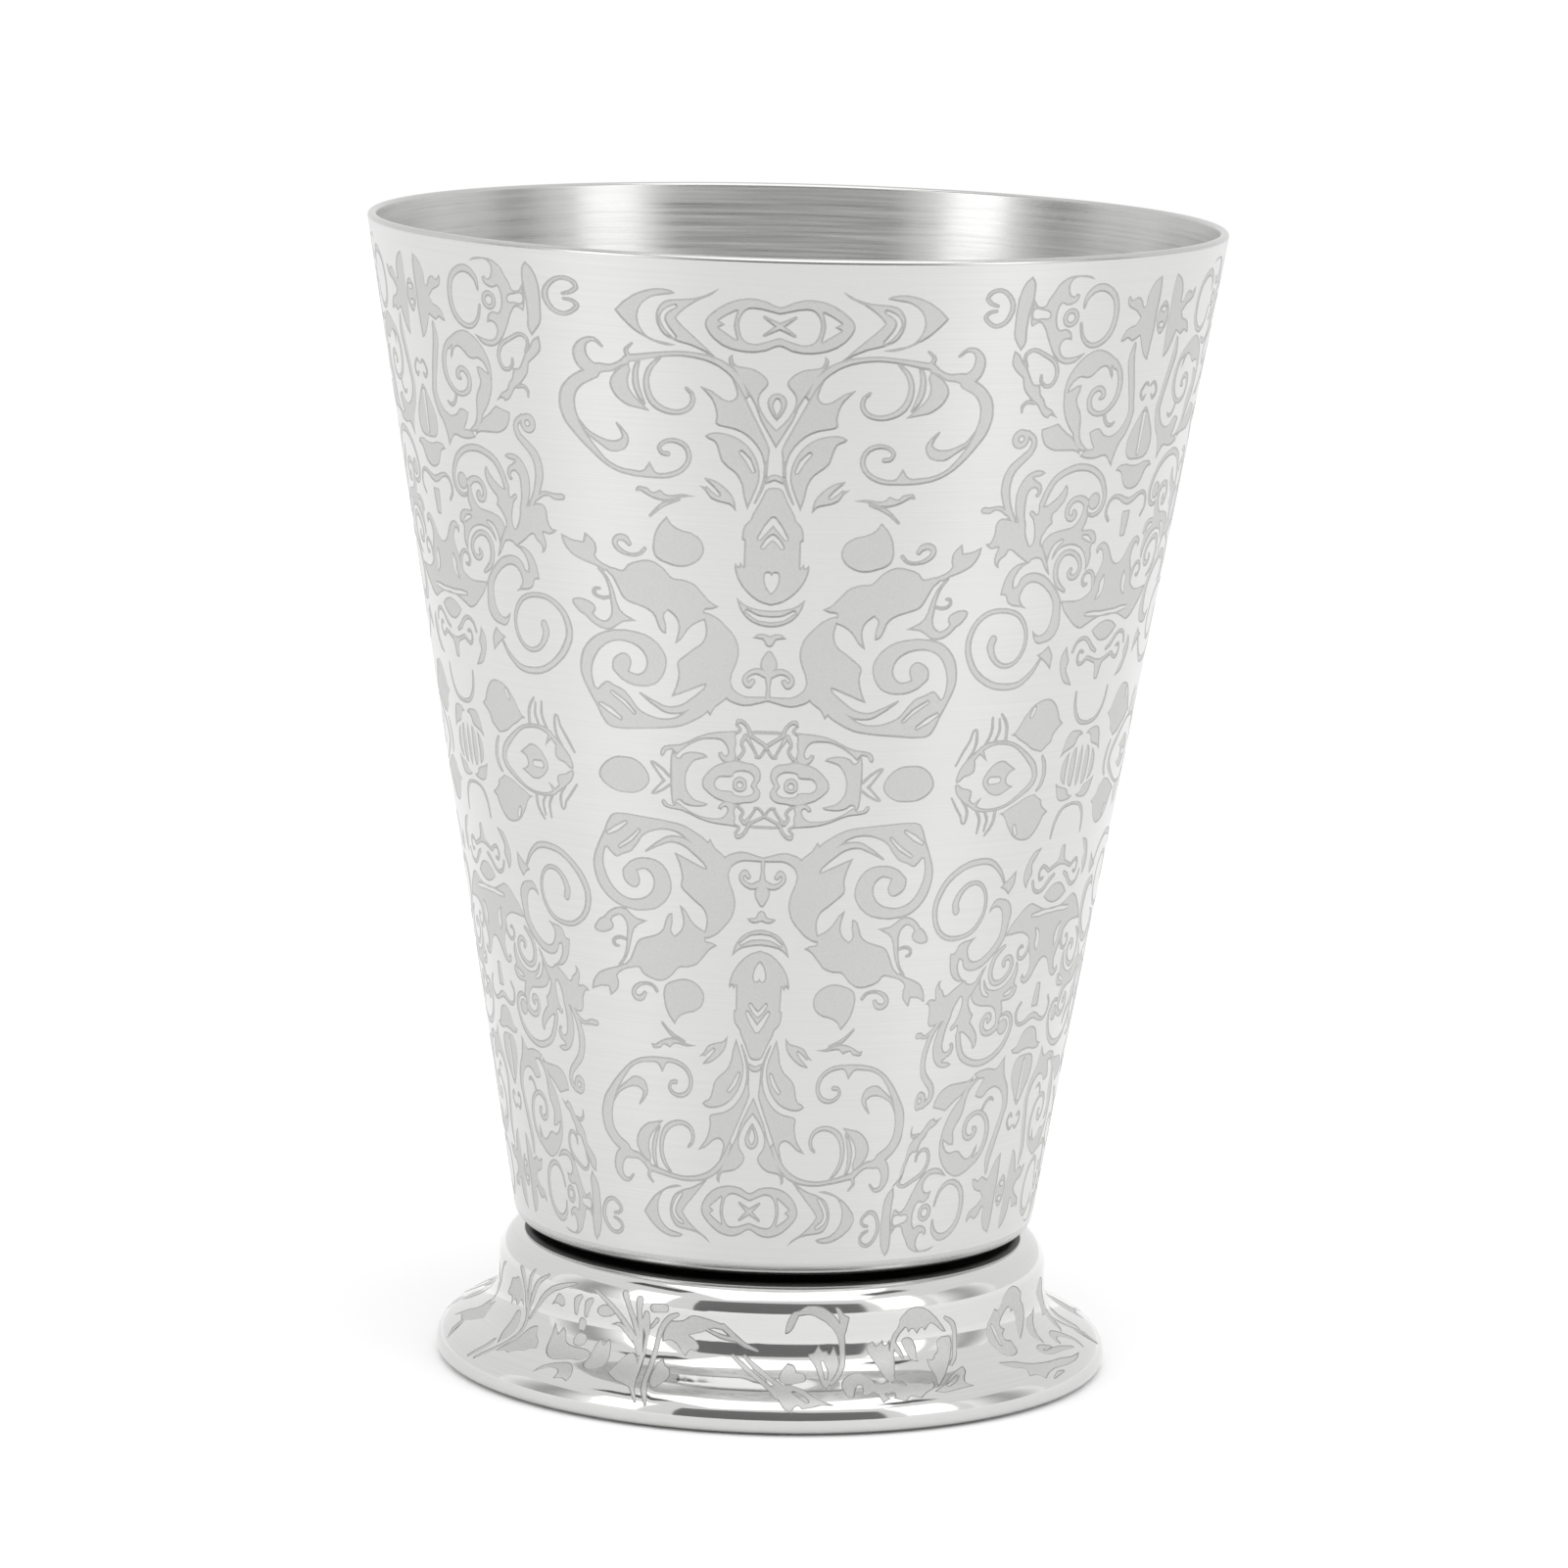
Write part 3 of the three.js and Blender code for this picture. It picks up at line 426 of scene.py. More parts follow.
BRANCHING_TRUNK = [
    leaf((27.15, 91.4), (27.1, 92.3), (26.6, 92.95), (25.5, 93.05), (24.3, 92.85), (23.0, 92.6),
         (22.0, 92.3), (21.5, 91.2), (20.9, 90.4), (20.4, 90.1), (20.05, 90.6), (20.1, 91.4), (20.4, 92.2),
         (20.8, 92.8), (21.5, 93.3), (21.3, 93.7), (20.7, 93.6), (20.0, 93.3), (19.8, 94.1), (18.6, 94.05),
         (17.6, 94.4), (16.6, 94.9), (15.8, 95.5), (15.4, 96.1, TIP), (14.9, 95.8), (14.75, 95.2),
         (15.0, 94.5), (15.6, 93.95), (16.4, 93.4), (17.1, 93.0), (16.8, 92.2, TIP), (17.4, 91.9),
         (18.0, 91.4), (18.5, 90.8), (18.5, 90.2, TIP), (17.9, 89.8), (17.2, 89.0), (16.5, 88.0),
         (15.8, 86.8, TIP), (16.6, 87.2), (17.4, 87.9), (18.0, 88.5), (18.8, 88.7), (19.7, 88.6),
         (20.3, 88.25), (21.3, 88.6), (22.5, 89.1), (23.6, 89.65), (24.2, 89.7), (24.6, 89.2),
         (25.4, 88.85), (25.7, 88.4), (25.4, 87.9, TIP), (26.2, 88.2), (26.6, 88.9), (26.4, 89.6),
         (26.1, 90.1, TIP), (27.2, 89.95), (27.9, 90.15), (28.5, 90.6, TIP), (27.7, 90.6)),
    leaf((18.3, 90.0), (17.8, 90.7), (16.9, 91.15), (15.6, 91.4), (14.0, 91.5), (12.9, 91.6), (12.1, 91.9),
         (11.5, 92.4), (11.1, 93.1), (10.9, 93.9), (10.1, 93.9), (9.9, 93.2), (9.6, 92.5), (9.8, 91.9),
         (10.3, 91.2, TIP), (9.2, 91.2), (8.2, 91.15), (7.3, 90.8), (6.8, 90.2), (6.9, 89.7),
         (7.5, 89.6, TIP), (7.7, 89.2), (7.4, 88.5), (7.45, 87.7), (7.9, 87.1), (8.3, 86.9, TIP),
         (8.4, 87.6), (8.8, 88.3), (9.6, 89.0), (10.8, 89.5), (12.2, 89.75), (13.4, 89.7), (14.4, 89.5),
         (15.1, 89.1), (15.7, 88.5, TIP), (16.6, 88.3), (17.5, 89.1)),
    clear_vine((16.0, 87.4, 0.25), (16.3, 88.4, 0.4), (16.0, 89.3, 0.4), (15.3, 89.95, 0.35),
               (14.3, 90.3, 0.15)),
    clear_vine((9.9, 90.5, 0.15), (9.0, 90.35, 0.35), (8.2, 90.0, 0.2)),
    vine((0.3, 105.3, 0.35), (0.9, 105.6, 0.4), (1.6, 105.3, 0.45), (2.1, 104.6, 0.45), (1.4, 104.0, 0.5),
         (0.8, 104.3, 0.35)),
    leaf((0, 103.2), (0.9, 102.7), (1.8, 101.8), (2.9, 100.7), (3.4, 99.8), (3.3, 98.8), (2.7, 98.1),
         (1.6, 97.8), (0, 97.75)),
    clear_vine((0, 102.4, 0.45), (0, 100.4, 0.3), (0, 98.4, 0.25)),
    leaf((0, 97.25), (1.2, 97.3), (2.3, 97.5), (3.3, 97.5), (4.3, 97.4), (5.1, 96.9, TIP), (4.2, 96.8),
         (3.4, 96.5), (2.8, 95.7), (1.8, 95.0), (0, 94.7)),
    vine((4.6, 91.8, 0.45), (5.5, 92.6, 0.5), (5.3, 93.6, 0.5), (4.2, 94.2, 0.5), (2.6, 94.1, 0.6),
         (1.2, 93.7, 0.8), (0, 93.5, 0.8)),
    leaf((0, 92.6), (1.1, 92.6, TIP), (1.1, 91.8), (0.9, 90.8), (0.7, 90.0), (0, 89.9)),
    vine((12.2, 85.1, 0.5), (13.3, 85.55, 0.7), (14.2, 86.2, 0.75), (14.7, 87.2, 0.8), (14.5, 88.2, 0.8),
         (13.6, 88.9, 0.75), (12.3, 89.05, 0.7), (10.9, 88.7, 0.7), (9.8, 88.0, 0.7), (9.5, 87.2, 0.7),
         (10.1, 86.5, 0.7), (11.1, 86.4, 0.7), (11.8, 86.8, 0.7), (11.5, 87.2, 0.6)),
    leaf((0, 87.2), (1.4, 87.6), (2.5, 88.6), (3.6, 89.4), (5.0, 89.7), (6.3, 89.1), (5.9, 88.4, TIP),
         (5.3, 88.9), (4.6, 88.6), (4.2, 87.7), (4.6, 86.9), (5.2, 86.2), (5.5, 85.2), (6.4, 84.5),
         (8.3, 84.0), (10.6, 84.0), (12.6, 84.1, TIP), (11.6, 83.0), (10.3, 82.2), (8.6, 81.3),
         (6.8, 80.9), (5.0, 81.3), (2.5, 81.8), (0, 81.8)),
    clear_leaf((3.0, 86.1, TIP), (2.7, 85.2), (3.1, 84.3), (4.2, 83.8, TIP), (3.6, 84.6), (3.7, 85.4)),
    clear_vine((6.0, 82.3, 0.15), (4.0, 82.25, 0.35), (2.0, 82.15, 0.3), (0, 82.2, 0.25)),
    vine((7.2, 85.5, 0.4), (7.9, 85.45, 0.5), (8.4, 86.0, 0.5), (8.0, 86.6, 0.5), (7.1, 86.8, 0.5),
         (6.2, 86.5, 0.6), (5.6, 85.8, 0.7), (5.5, 85.0, 0.6)),
    leaf((0, 81.4), (2.0, 81.15), (3.8, 80.5, TIP), (2.6, 79.8), (1.2, 79.3), (0, 79.2)),
    vine((7.7, 78.6, 0.5), (7.0, 79.5, 0.5), (5.4, 79.85, 0.5), (3.9, 79.4, 0.6), (2.8, 78.7, 0.65),
         (1.6, 78.3, 0.5)),
    vine((5.0, 78.4, 0.45), (5.8, 78.5, 0.45), (6.2, 77.8, 0.45), (5.6, 77.2, 0.5), (4.6, 77.3, 0.5),
         (3.6, 77.7, 0.55), (2.6, 77.5, 0.55), (1.2, 77.2, 0.6), (0, 77.1, 0.6)),
    leaf((0, 77.4), (1.3, 77.2), (0.9, 76.4), (0.6, 75.4), (0, 75.2)),
    leaf((9.2, 79.3, TIP), (10.1, 78.6), (10.4, 77.6), (9.7, 76.3), (8.6, 75.4), (6.5, 75.0, TIP),
         (7.4, 75.8), (8.5, 76.8), (8.2, 77.7), (8.8, 78.4)),
    vine((14.9, 78.3, 0.4), (16.3, 77.0, 0.6), (18.6, 75.9, 0.75), (21.3, 75.7, 0.8), (24.3, 76.1, 0.8),
         (27.2, 77.4, 0.8), (28.8, 79.2, 0.8), (29.1, 80.7, 0.75), (28.2, 82.4, 0.7), (26.3, 83.4, 0.65),
         (23.6, 83.6, 0.6), (20.9, 83.1, 0.6), (19.3, 82.0, 0.6), (18.6, 80.7, 0.55), (18.9, 79.2, 0.55),
         (20.3, 78.1, 0.55), (22.3, 77.9, 0.6), (24.1, 78.6, 0.7), (25.1, 79.9, 1.0), (24.8, 80.7, 1.0)),
    leaf((24.7, 85.2, TIP), (24.4, 86.4), (23.8, 87.4), (22.8, 88.1), (21.6, 88.4), (20.2, 88.3, TIP),
         (21.3, 87.95), (22.1, 87.3), (22.5, 86.6), (22.4, 85.9, TIP), (21.8, 86.1), (21.4, 86.75),
         (20.5, 87.2), (19.2, 87.35), (17.8, 87.2), (16.4, 86.8), (14.9, 86.0), (13.4, 85.0), (12.6, 84.2),
         (12.2, 82.8), (12.0, 81.4), (13.0, 80.3), (14.6, 79.9), (16.3, 79.9), (17.3, 80.7),
         (17.6, 81.4, TIP), (16.4, 80.8), (15.2, 80.9), (14.4, 81.5), (14.0, 82.7), (14.2, 83.8),
         (15.0, 84.7), (16.3, 85.5), (17.8, 86.1), (19.2, 86.25), (20.2, 85.95), (20.8, 85.3),
         (20.9, 84.7), (20.3, 84.1), (19.3, 83.6, TIP), (20.8, 83.85), (22.2, 84.0), (23.2, 84.4),
         (23.7, 85.1)),
    leaf((13.6, 79.6, TIP), (12.4, 78.5), (12.4, 77.0, TIP), (13.6, 77.7), (15.9, 78.7, TIP),
         (14.7, 79.0)),
]

WAIST = [
    vine((28.6, 67.9, 0.3), (27.6, 69.2, 0.35), (26.5, 70.4, 0.35), (25.8, 71.5, 0.3), (25.3, 70.5, 0.45),
         (25.5, 69.5, 0.4), (26.5, 68.4, 0.4)),
    vine((24.2, 69.1, 0.4), (23.2, 70.2, 0.45), (22.6, 71.3, 0.45), (22.8, 72.6, 0.35)),
    vine((21.8, 70.1, 0.4), (21.1, 71.2, 0.45), (21.4, 72.4, 0.35)),
    vine((19.6, 70.2, 0.5), (19.7, 71.5, 0.5), (20.2, 72.2, 0.45), (21.1, 72.9, 0.35)),
    leaf((28.2, 66.1), (28.0, 67.2), (27.0, 68.2), (25.6, 68.8), (25.0, 68.2), (24.9, 67.2), (25.6, 66.8),
         (26.8, 66.6), (27.4, 66.2, TIP)),
    leaf((24.6, 69.2), (23.8, 68.6), (22.6, 68.0, TIP), (23.6, 69.3), (24.2, 69.8)),
    vine((25.9, 68.3, 0.8), (24.6, 69.1, 0.7), (23.2, 69.7, 0.6), (21.5, 69.95, 0.5), (19.5, 69.9, 0.5),
         (17.5, 69.55, 0.5), (15.6, 68.8, 0.6), (13.8, 67.9, 0.8), (12.4, 67.0, 0.9), (11.8, 66.0, 0.9)),
    vine((10.8, 68.0, 0.45), (10.0, 67.2, 0.65), (9.6, 66.0, 0.7)),
    leaf((19.0, 70.65, TIP), (18.0, 70.8), (17.2, 71.4), (16.5, 72.2), (15.6, 72.9), (14.7, 73.5),
         (12.9, 73.95), (11.0, 73.95), (9.5, 73.3), (8.5, 72.4), (8.0, 71.7), (6.9, 71.2, TIP),
         (8.0, 70.7), (8.9, 70.1), (9.2, 69.4), (10.1, 69.0), (11.2, 68.45, TIP), (12.4, 68.6),
         (13.8, 68.9), (15.2, 69.5), (16.8, 70.0), (17.6, 70.4)),
    clear_vine((14.8, 72.4, 0.3), (14.3, 73.1, 0.35)),
    leaf((23.1, 66.0), (22.2, 67.2), (20.7, 67.95), (19.2, 68.05), (18.0, 67.6), (16.4, 67.0, TIP),
         (17.7, 66.65), (18.2, 66.0)),
    clear_vine((21.4, 66.0, 0.7), (19.9, 66.0, 0.6)),
    vine((4.8, 74.2, 0.4), (4.5, 72.8, 0.55), (3.6, 71.7, 0.6), (2.2, 71.0, 0.55), (0, 70.75, 0.5)),
    leaf((6.2, 67.4, TIP), (5.7, 68.4), (5.1, 69.5), (4.2, 70.1), (2.7, 70.2), (1.2, 70.0),
         (0.4, 69.6, TIP), (1.4, 69.5), (2.0, 69.2), (2.3, 68.7), (2.9, 68.4), (4.0, 68.2), (5.2, 67.9)),
    leaf((5.2, 66.0), (5.0, 66.9), (4.3, 67.6), (3.5, 68.0, TIP), (3.6, 67.0), (3.7, 66.0)),
    leaf((3.0, 66.0), (2.9, 67.2), (2.4, 68.1), (1.6, 68.4, TIP), (1.3, 67.2), (1.2, 66.0)),
    leaf((0.6, 66.0), (0.5, 67.6), (0, 68.6, TIP)),
]

# Foot, in degrees from the front and millimetres up its profile
FOOT_SPRIGS = [
    vine((-63.9, 3.2, 0.2), (-62.2, 4.2, 0.45), (-61.6, 5.4, 0.5), (-62.3, 6.4, 0.3)),
    vine((-61.6, 3.3, 0.2), (-59.6, 4.5, 0.4), (-58.6, 6.0, 0.45), (-58.4, 8.0, 0.45), (-59.2, 9.6, 0.45),
         (-60.4, 10.8, 0.4)),
    leaf((-65.0, 10.4, TIP), (-64.7, 9.0), (-63.5, 7.7), (-61.8, 6.8), (-60.2, 6.0, TIP), (-60.0, 7.2),
         (-60.6, 8.6), (-62.0, 9.8), (-63.6, 10.6)),
    leaf((-58.0, 5.0, TIP), (-56.0, 5.5), (-54.6, 5.4, TIP), (-53.6, 6.1), (-51.8, 6.5, TIP), (-51.4, 7.0),
         (-50.0, 7.3, TIP), (-51.5, 8.3), (-53.6, 9.0), (-54.8, 9.9, TIP), (-56.2, 9.7), (-57.4, 9.0),
         (-57.4, 7.4), (-57.8, 6.2)),
    leaf((-72.6, 11.5, TIP), (-71.0, 12.4), (-69.6, 13.4), (-68.0, 13.5), (-66.0, 13.9), (-64.2, 13.4),
         (-63.2, 12.3), (-62.6, 11.0, TIP), (-64.2, 11.6), (-65.6, 10.9), (-67.4, 11.3),
         (-68.8, 10.6, TIP), (-69.6, 11.4), (-71.2, 11.3)),
    vine((-60.2, 11.0, 0.35), (-59.0, 12.6, 0.55), (-57.0, 14.2, 0.5), (-53.4, 15.4, 0.25)),
    vine((-60.8, 11.0, 0.35), (-60.6, 12.8, 0.6), (-60.0, 14.4, 0.5), (-58.8, 15.4, 0.25)),
    vine((-61.4, 11.2, 0.35), (-62.4, 13.2, 0.6), (-63.8, 14.6, 0.7), (-65.2, 15.0, 0.3)),
    vine((-58.6, 10.4, 0.35), (-55.5, 12.6, 0.5), (-51.6, 14.1, 0.5), (-47.0, 15.0, 0.4),
         (-44.4, 15.4, 0.2)),
    leaf((-52.0, 12.4, TIP), (-50.6, 13.2), (-49.4, 13.9), (-47.8, 13.6), (-47.4, 12.9), (-48.6, 12.6),
         (-50.0, 12.8)),
    leaf((-50.0, 10.9, TIP), (-49.5, 9.4), (-48.3, 8.0), (-46.5, 7.0), (-44.2, 6.5), (-42.2, 6.7),
         (-40.2, 7.2), (-38.2, 7.3), (-37.3, 8.5), (-38.6, 8.9), (-41.0, 8.9), (-43.4, 9.0), (-45.0, 9.4),
         (-45.9, 10.2), (-47.2, 10.6, TIP), (-47.9, 9.8, TIP)),
    leaf((-37.0, 10.0), (-36.2, 10.5, TIP), (-35.5, 9.8, TIP), (-34.3, 10.6, TIP), (-33.5, 9.8),
         (-32.6, 8.4), (-32.4, 7.2), (-33.6, 6.4), (-35.6, 6.2), (-36.9, 6.9), (-37.0, 8.0), (-37.3, 9.0)),
    leaf((-45.2, 4.0, TIP), (-44.2, 5.3), (-42.2, 6.2), (-39.6, 6.6), (-37.7, 5.8), (-36.8, 4.6),
         (-37.0, 3.9, TIP), (-38.4, 4.2), (-40.0, 3.9, TIP), (-40.2, 5.0), (-41.9, 5.3), (-43.6, 4.8)),
    vine((-41.8, 9.8, 1.1), (-41.2, 9.8, 1.1)),
    vine((-42.4, 11.0, 0.5), (-42.0, 11.6, 0.7), (-41.6, 11.0, 0.5)),
    vine((-39.2, 15.3, 0.2), (-35.5, 14.3, 0.45), (-31.8, 12.8, 0.5), (-28.6, 11.0, 0.5),
         (-26.8, 9.5, 0.4)),
    vine((-44.0, 12.4, 0.4), (-43.8, 13.6, 0.7), (-42.6, 14.2, 0.4)),
    vine((-41.2, 12.4, 0.4), (-40.6, 13.6, 0.7), (-39.6, 14.1, 0.4)),
    leaf((-38.2, 13.0), (-37.4, 13.7), (-35.4, 13.9), (-33.4, 13.2, TIP), (-34.6, 12.8), (-36.8, 12.6)),
    leaf((-30.8, 6.3, TIP), (-30.3, 8.0), (-29.4, 9.2), (-28.0, 9.6, TIP), (-26.8, 9.0), (-25.7, 7.8),
         (-25.0, 6.4), (-24.3, 5.2), (-23.6, 4.3, TIP), (-25.7, 4.8), (-28.2, 5.3)),
    leaf((-34.7, 12.0, TIP), (-32.4, 11.9), (-30.2, 11.0), (-28.0, 10.2, TIP), (-30.0, 11.6),
         (-32.2, 12.4)),
    vine((-26.7, 9.4, 0.3), (-28.6, 12.4, 0.5), (-30.4, 14.4, 0.5), (-31.3, 15.4, 0.6)),
    vine((-26.3, 9.4, 0.3), (-27.4, 12.4, 0.5), (-27.8, 14.0, 0.5), (-27.7, 15.0, 0.7)),
    vine((-25.7, 9.4, 0.3), (-25.8, 11.6, 0.5), (-26.2, 12.8, 0.8), (-26.0, 13.7, 0.5)),
    vine((-24.4, 14.4, 0.7), (-22.0, 14.5, 0.7)),
    vine((-24.9, 12.4, 0.3), (-23.6, 13.2, 0.4)),
    vine((-22.8, 3.0, 0.2), (-24.4, 4.8, 0.45), (-25.3, 7.0, 0.5), (-26.0, 9.4, 0.5)),
    vine((-20.9, 2.8, 0.2), (-22.0, 4.5, 0.45), (-22.9, 6.6, 0.45), (-23.3, 9.0, 0.45),
         (-23.3, 11.0, 0.45), (-22.5, 12.5, 0.5), (-20.8, 13.6, 0.5), (-19.2, 14.0, 0.35)),
    leaf((-22.0, 6.0), (-22.4, 7.6), (-22.2, 8.8), (-21.3, 9.4, TIP), (-20.5, 8.6), (-19.3, 8.2, TIP),
         (-18.6, 7.0), (-19.3, 5.8), (-20.3, 4.9, TIP), (-21.3, 5.2)),
    leaf((-20.6, 13.3, TIP), (-18.0, 13.5), (-16.0, 14.1), (-13.0, 13.9), (-10.6, 13.6), (-8.9, 13.3, TIP),
         (-9.6, 12.8), (-11.6, 12.9), (-14.0, 12.4), (-16.6, 12.0, TIP), (-15.0, 11.5), (-14.3, 10.8),
         (-15.2, 10.4, TIP), (-16.2, 10.5), (-16.9, 9.8, TIP), (-18.0, 10.3), (-19.2, 11.0), (-20.8, 11.3),
         (-22.4, 11.0, TIP), (-22.2, 12.0), (-21.5, 12.8)),
    vine((-9.6, 13.2, 0.5), (-8.2, 12.6, 0.5), (-6.8, 12.0, 0.5), (-5.0, 11.4, 0.4), (-2.4, 10.9, 0.2)),
    vine((-12.8, 12.7, 0.3), (-9.6, 12.1, 0.4), (-6.8, 11.9, 0.4)),
    vine((-7.4, 10.3, 0.3), (-5.0, 9.2, 0.45), (-2.0, 7.5, 0.5), (0.0, 6.3, 0.5), (1.5, 4.8, 0.5)),
    vine((-5.0, 10.3, 0.3), (-2.5, 9.0, 0.45), (0.5, 7.5, 0.5), (2.0, 6.6, 0.5)),
    leaf((0.6, 6.6), (2.5, 6.8), (4.5, 6.6), (6.5, 5.8), (8.0, 4.8), (9.5, 4.2), (11.6, 3.6, TIP),
         (9.0, 3.7), (7.0, 3.4), (5.6, 3.3, TIP), (4.9, 3.7), (3.8, 2.9, TIP), (2.6, 3.3), (1.8, 4.2),
         (0.8, 5.4)),
    clear_vine((4.4, 5.6, 0.2), (5.6, 4.9, 0.35), (6.6, 4.2, 0.2)),
    leaf((1.9, 7.4), (2.4, 8.8), (3.6, 9.7, TIP), (5.0, 9.4), (5.3, 8.6, TIP), (6.8, 8.4), (6.9, 7.4),
         (5.5, 7.0), (3.5, 6.8)),
    leaf((3.0, 12.6, TIP), (3.4, 13.8), (4.6, 14.9), (6.2, 15.1, TIP), (5.6, 14.2), (4.8, 13.3),
         (4.0, 12.8)),
    vine((6.0, 14.8, 0.4), (8.0, 15.1, 0.7), (10.5, 14.8, 0.9), (13.0, 13.8, 0.8), (14.6, 12.4, 0.6),
         (14.9, 11.0, 0.5), (14.6, 9.5, 0.45), (13.4, 8.2, 0.45), (11.6, 6.9, 0.4)),
    leaf((13.2, 15.4, TIP), (14.2, 15.3), (15.2, 14.6), (16.4, 14.3, TIP), (16.0, 13.4), (15.6, 12.6),
         (14.9, 12.0, TIP), (14.4, 13.2), (14.0, 14.4)),
    leaf((7.7, 10.6, TIP), (9.0, 10.8), (10.0, 11.6, TIP), (10.8, 10.9), (11.7, 11.0, TIP), (12.2, 10.6),
         (13.1, 11.4, TIP), (13.8, 10.6), (14.0, 9.6), (13.0, 8.3), (11.7, 7.2), (10.4, 5.8, TIP),
         (9.6, 7.0), (9.4, 8.2), (9.0, 9.3), (8.2, 10.0)),
    clear_vine((10.6, 9.8, 0.15), (11.0, 8.6, 0.3), (10.8, 7.6, 0.15)),
    vine((14.4, 5.0, 0.6), (14.8, 6.6, 1.1), (16.6, 7.5, 1.2), (18.3, 6.9, 1.1), (18.2, 5.8, 0.9),
         (17.2, 5.1, 0.5)),
    leaf((20.0, 11.2), (21.4, 11.7, TIP), (22.2, 11.2), (23.6, 11.8, TIP), (24.0, 11.2), (25.2, 11.8, TIP),
         (25.0, 10.0), (24.5, 8.5), (24.1, 7.0), (22.6, 6.8), (21.9, 8.3), (20.7, 9.8)),
    leaf((19.2, 7.1, TIP), (20.5, 6.5), (22.3, 6.8), (24.0, 7.1), (26.0, 6.4), (28.0, 6.2), (29.8, 5.9),
         (31.4, 6.2, TIP), (30.4, 5.1), (28.6, 4.6), (27.0, 3.9, TIP), (25.4, 4.3), (24.0, 3.7, TIP),
         (21.6, 4.2), (19.8, 3.7, TIP), (19.4, 4.8), (18.6, 5.4)),
    clear_vine((21.0, 4.8, 0.2), (21.7, 4.5, 0.45), (22.2, 4.9, 0.2)),
    clear_vine((23.4, 6.6, 0.2), (24.4, 6.5, 0.35), (25.2, 6.1, 0.2)),
    vine((24.2, 8.0, 0.4), (25.3, 10.2, 0.45), (26.4, 12.0, 0.5), (28.2, 13.0, 0.5)),
    leaf((26.0, 12.0, TIP), (27.2, 13.2), (27.4, 13.8, TIP), (28.4, 14.3), (29.6, 14.7), (31.5, 14.85),
         (33.8, 14.5), (35.8, 13.7), (37.5, 12.8), (39.0, 11.8, TIP), (37.8, 11.9), (36.4, 12.5),
         (34.8, 12.9), (33.4, 12.2, TIP), (32.6, 12.6), (31.5, 12.0, TIP), (30.4, 12.6), (29.4, 12.2, TIP),
         (28.8, 12.8), (27.4, 12.4)),
    leaf((27.8, 11.5), (29.4, 11.8), (30.6, 11.4), (31.1, 10.5), (30.7, 9.6), (30.9, 9.1, TIP),
         (29.3, 9.4), (28.5, 10.4)),
    vine((26.0, 11.4, 0.4), (26.8, 10.6, 0.5), (27.6, 9.8, 0.3)),
    vine((38.5, 13.3, 0.3), (40.5, 12.6, 0.5), (41.2, 11.5, 0.5), (40.6, 10.2, 0.45), (39.5, 9.1, 0.4),
         (37.6, 8.2, 0.3)),
    leaf((39.6, 11.4, TIP), (37.6, 11.4), (36.3, 11.0), (36.0, 10.0), (35.0, 9.7, TIP), (34.2, 9.2),
         (32.8, 9.3, TIP), (32.5, 8.4), (32.4, 7.0), (31.8, 6.0), (31.0, 5.0, TIP), (33.5, 6.2),
         (36.0, 7.6), (38.2, 8.9), (39.6, 10.0), (40.1, 11.0)),
    leaf((30.0, 4.6, TIP), (33.0, 5.5), (36.0, 6.8), (38.5, 7.5), (40.0, 7.8, TIP), (39.5, 6.9),
         (38.0, 6.0), (37.4, 5.2), (38.6, 4.6, TIP), (35.5, 4.5), (32.0, 4.3)),
    clear_vine((33.4, 5.2, 0.15), (35.4, 5.8, 0.3), (37.0, 6.5, 0.15)),
    leaf((51.0, 11.6), (52.4, 12.3), (53.5, 13.1, TIP), (55.0, 12.8), (56.5, 13.8), (58.5, 14.6),
         (60.8, 14.8), (63.0, 14.4), (64.8, 13.7, TIP), (64.6, 13.0), (66.0, 12.2), (66.4, 11.3),
         (65.0, 10.4), (63.0, 9.7), (60.4, 9.0, TIP), (61.4, 10.2), (61.9, 11.3), (61.0, 12.2),
         (59.8, 12.1, TIP), (59.2, 12.7), (57.5, 12.4), (56.0, 11.7), (55.5, 11.1), (57.0, 10.6, TIP),
         (55.7, 10.2), (55.7, 9.6), (57.3, 9.3, TIP), (57.0, 8.4), (55.8, 7.7), (53.8, 7.5), (52.0, 7.9),
         (51.0, 9.0), (50.4, 10.2)),
    clear_vine((52.6, 11.4, 0.15), (53.4, 10.4, 0.35), (53.4, 9.2, 0.15)),
    leaf((48.5, 7.2, TIP), (50.2, 7.0), (52.5, 6.7), (54.5, 6.0), (56.5, 5.6), (60.0, 5.2), (64.0, 5.0),
         (68.0, 4.5), (72.0, 4.4, TIP), (68.5, 3.9), (64.0, 3.9), (60.0, 4.1), (57.5, 3.9),
         (55.5, 3.4, TIP), (54.0, 4.1), (51.8, 4.2, TIP), (52.6, 5.2), (50.6, 5.8), (49.1, 6.5)),
    vine((58.0, 3.2, 0.2), (60.0, 3.5, 0.4), (61.8, 3.5, 0.2)),
    vine((66.4, 6.8, 0.4), (64.2, 7.2, 0.6), (62.5, 6.9, 0.6), (63.2, 6.3, 0.6), (66.0, 6.1, 0.7),
         (69.0, 5.9, 0.6), (72.2, 5.3, 0.3)),
    leaf((65.0, 9.2), (66.2, 10.3), (68.5, 10.8), (70.4, 10.9), (72.6, 11.4, TIP), (71.6, 10.7),
         (70.0, 10.2), (67.8, 8.9), (66.3, 7.4, TIP), (65.3, 8.3)),
    vine((70.4, 6.6, 0.4), (71.4, 7.4, 0.6), (73.4, 7.7, 0.8), (75.4, 7.0, 0.9), (76.2, 5.8, 0.6),
         (75.4, 4.6, 0.3)),
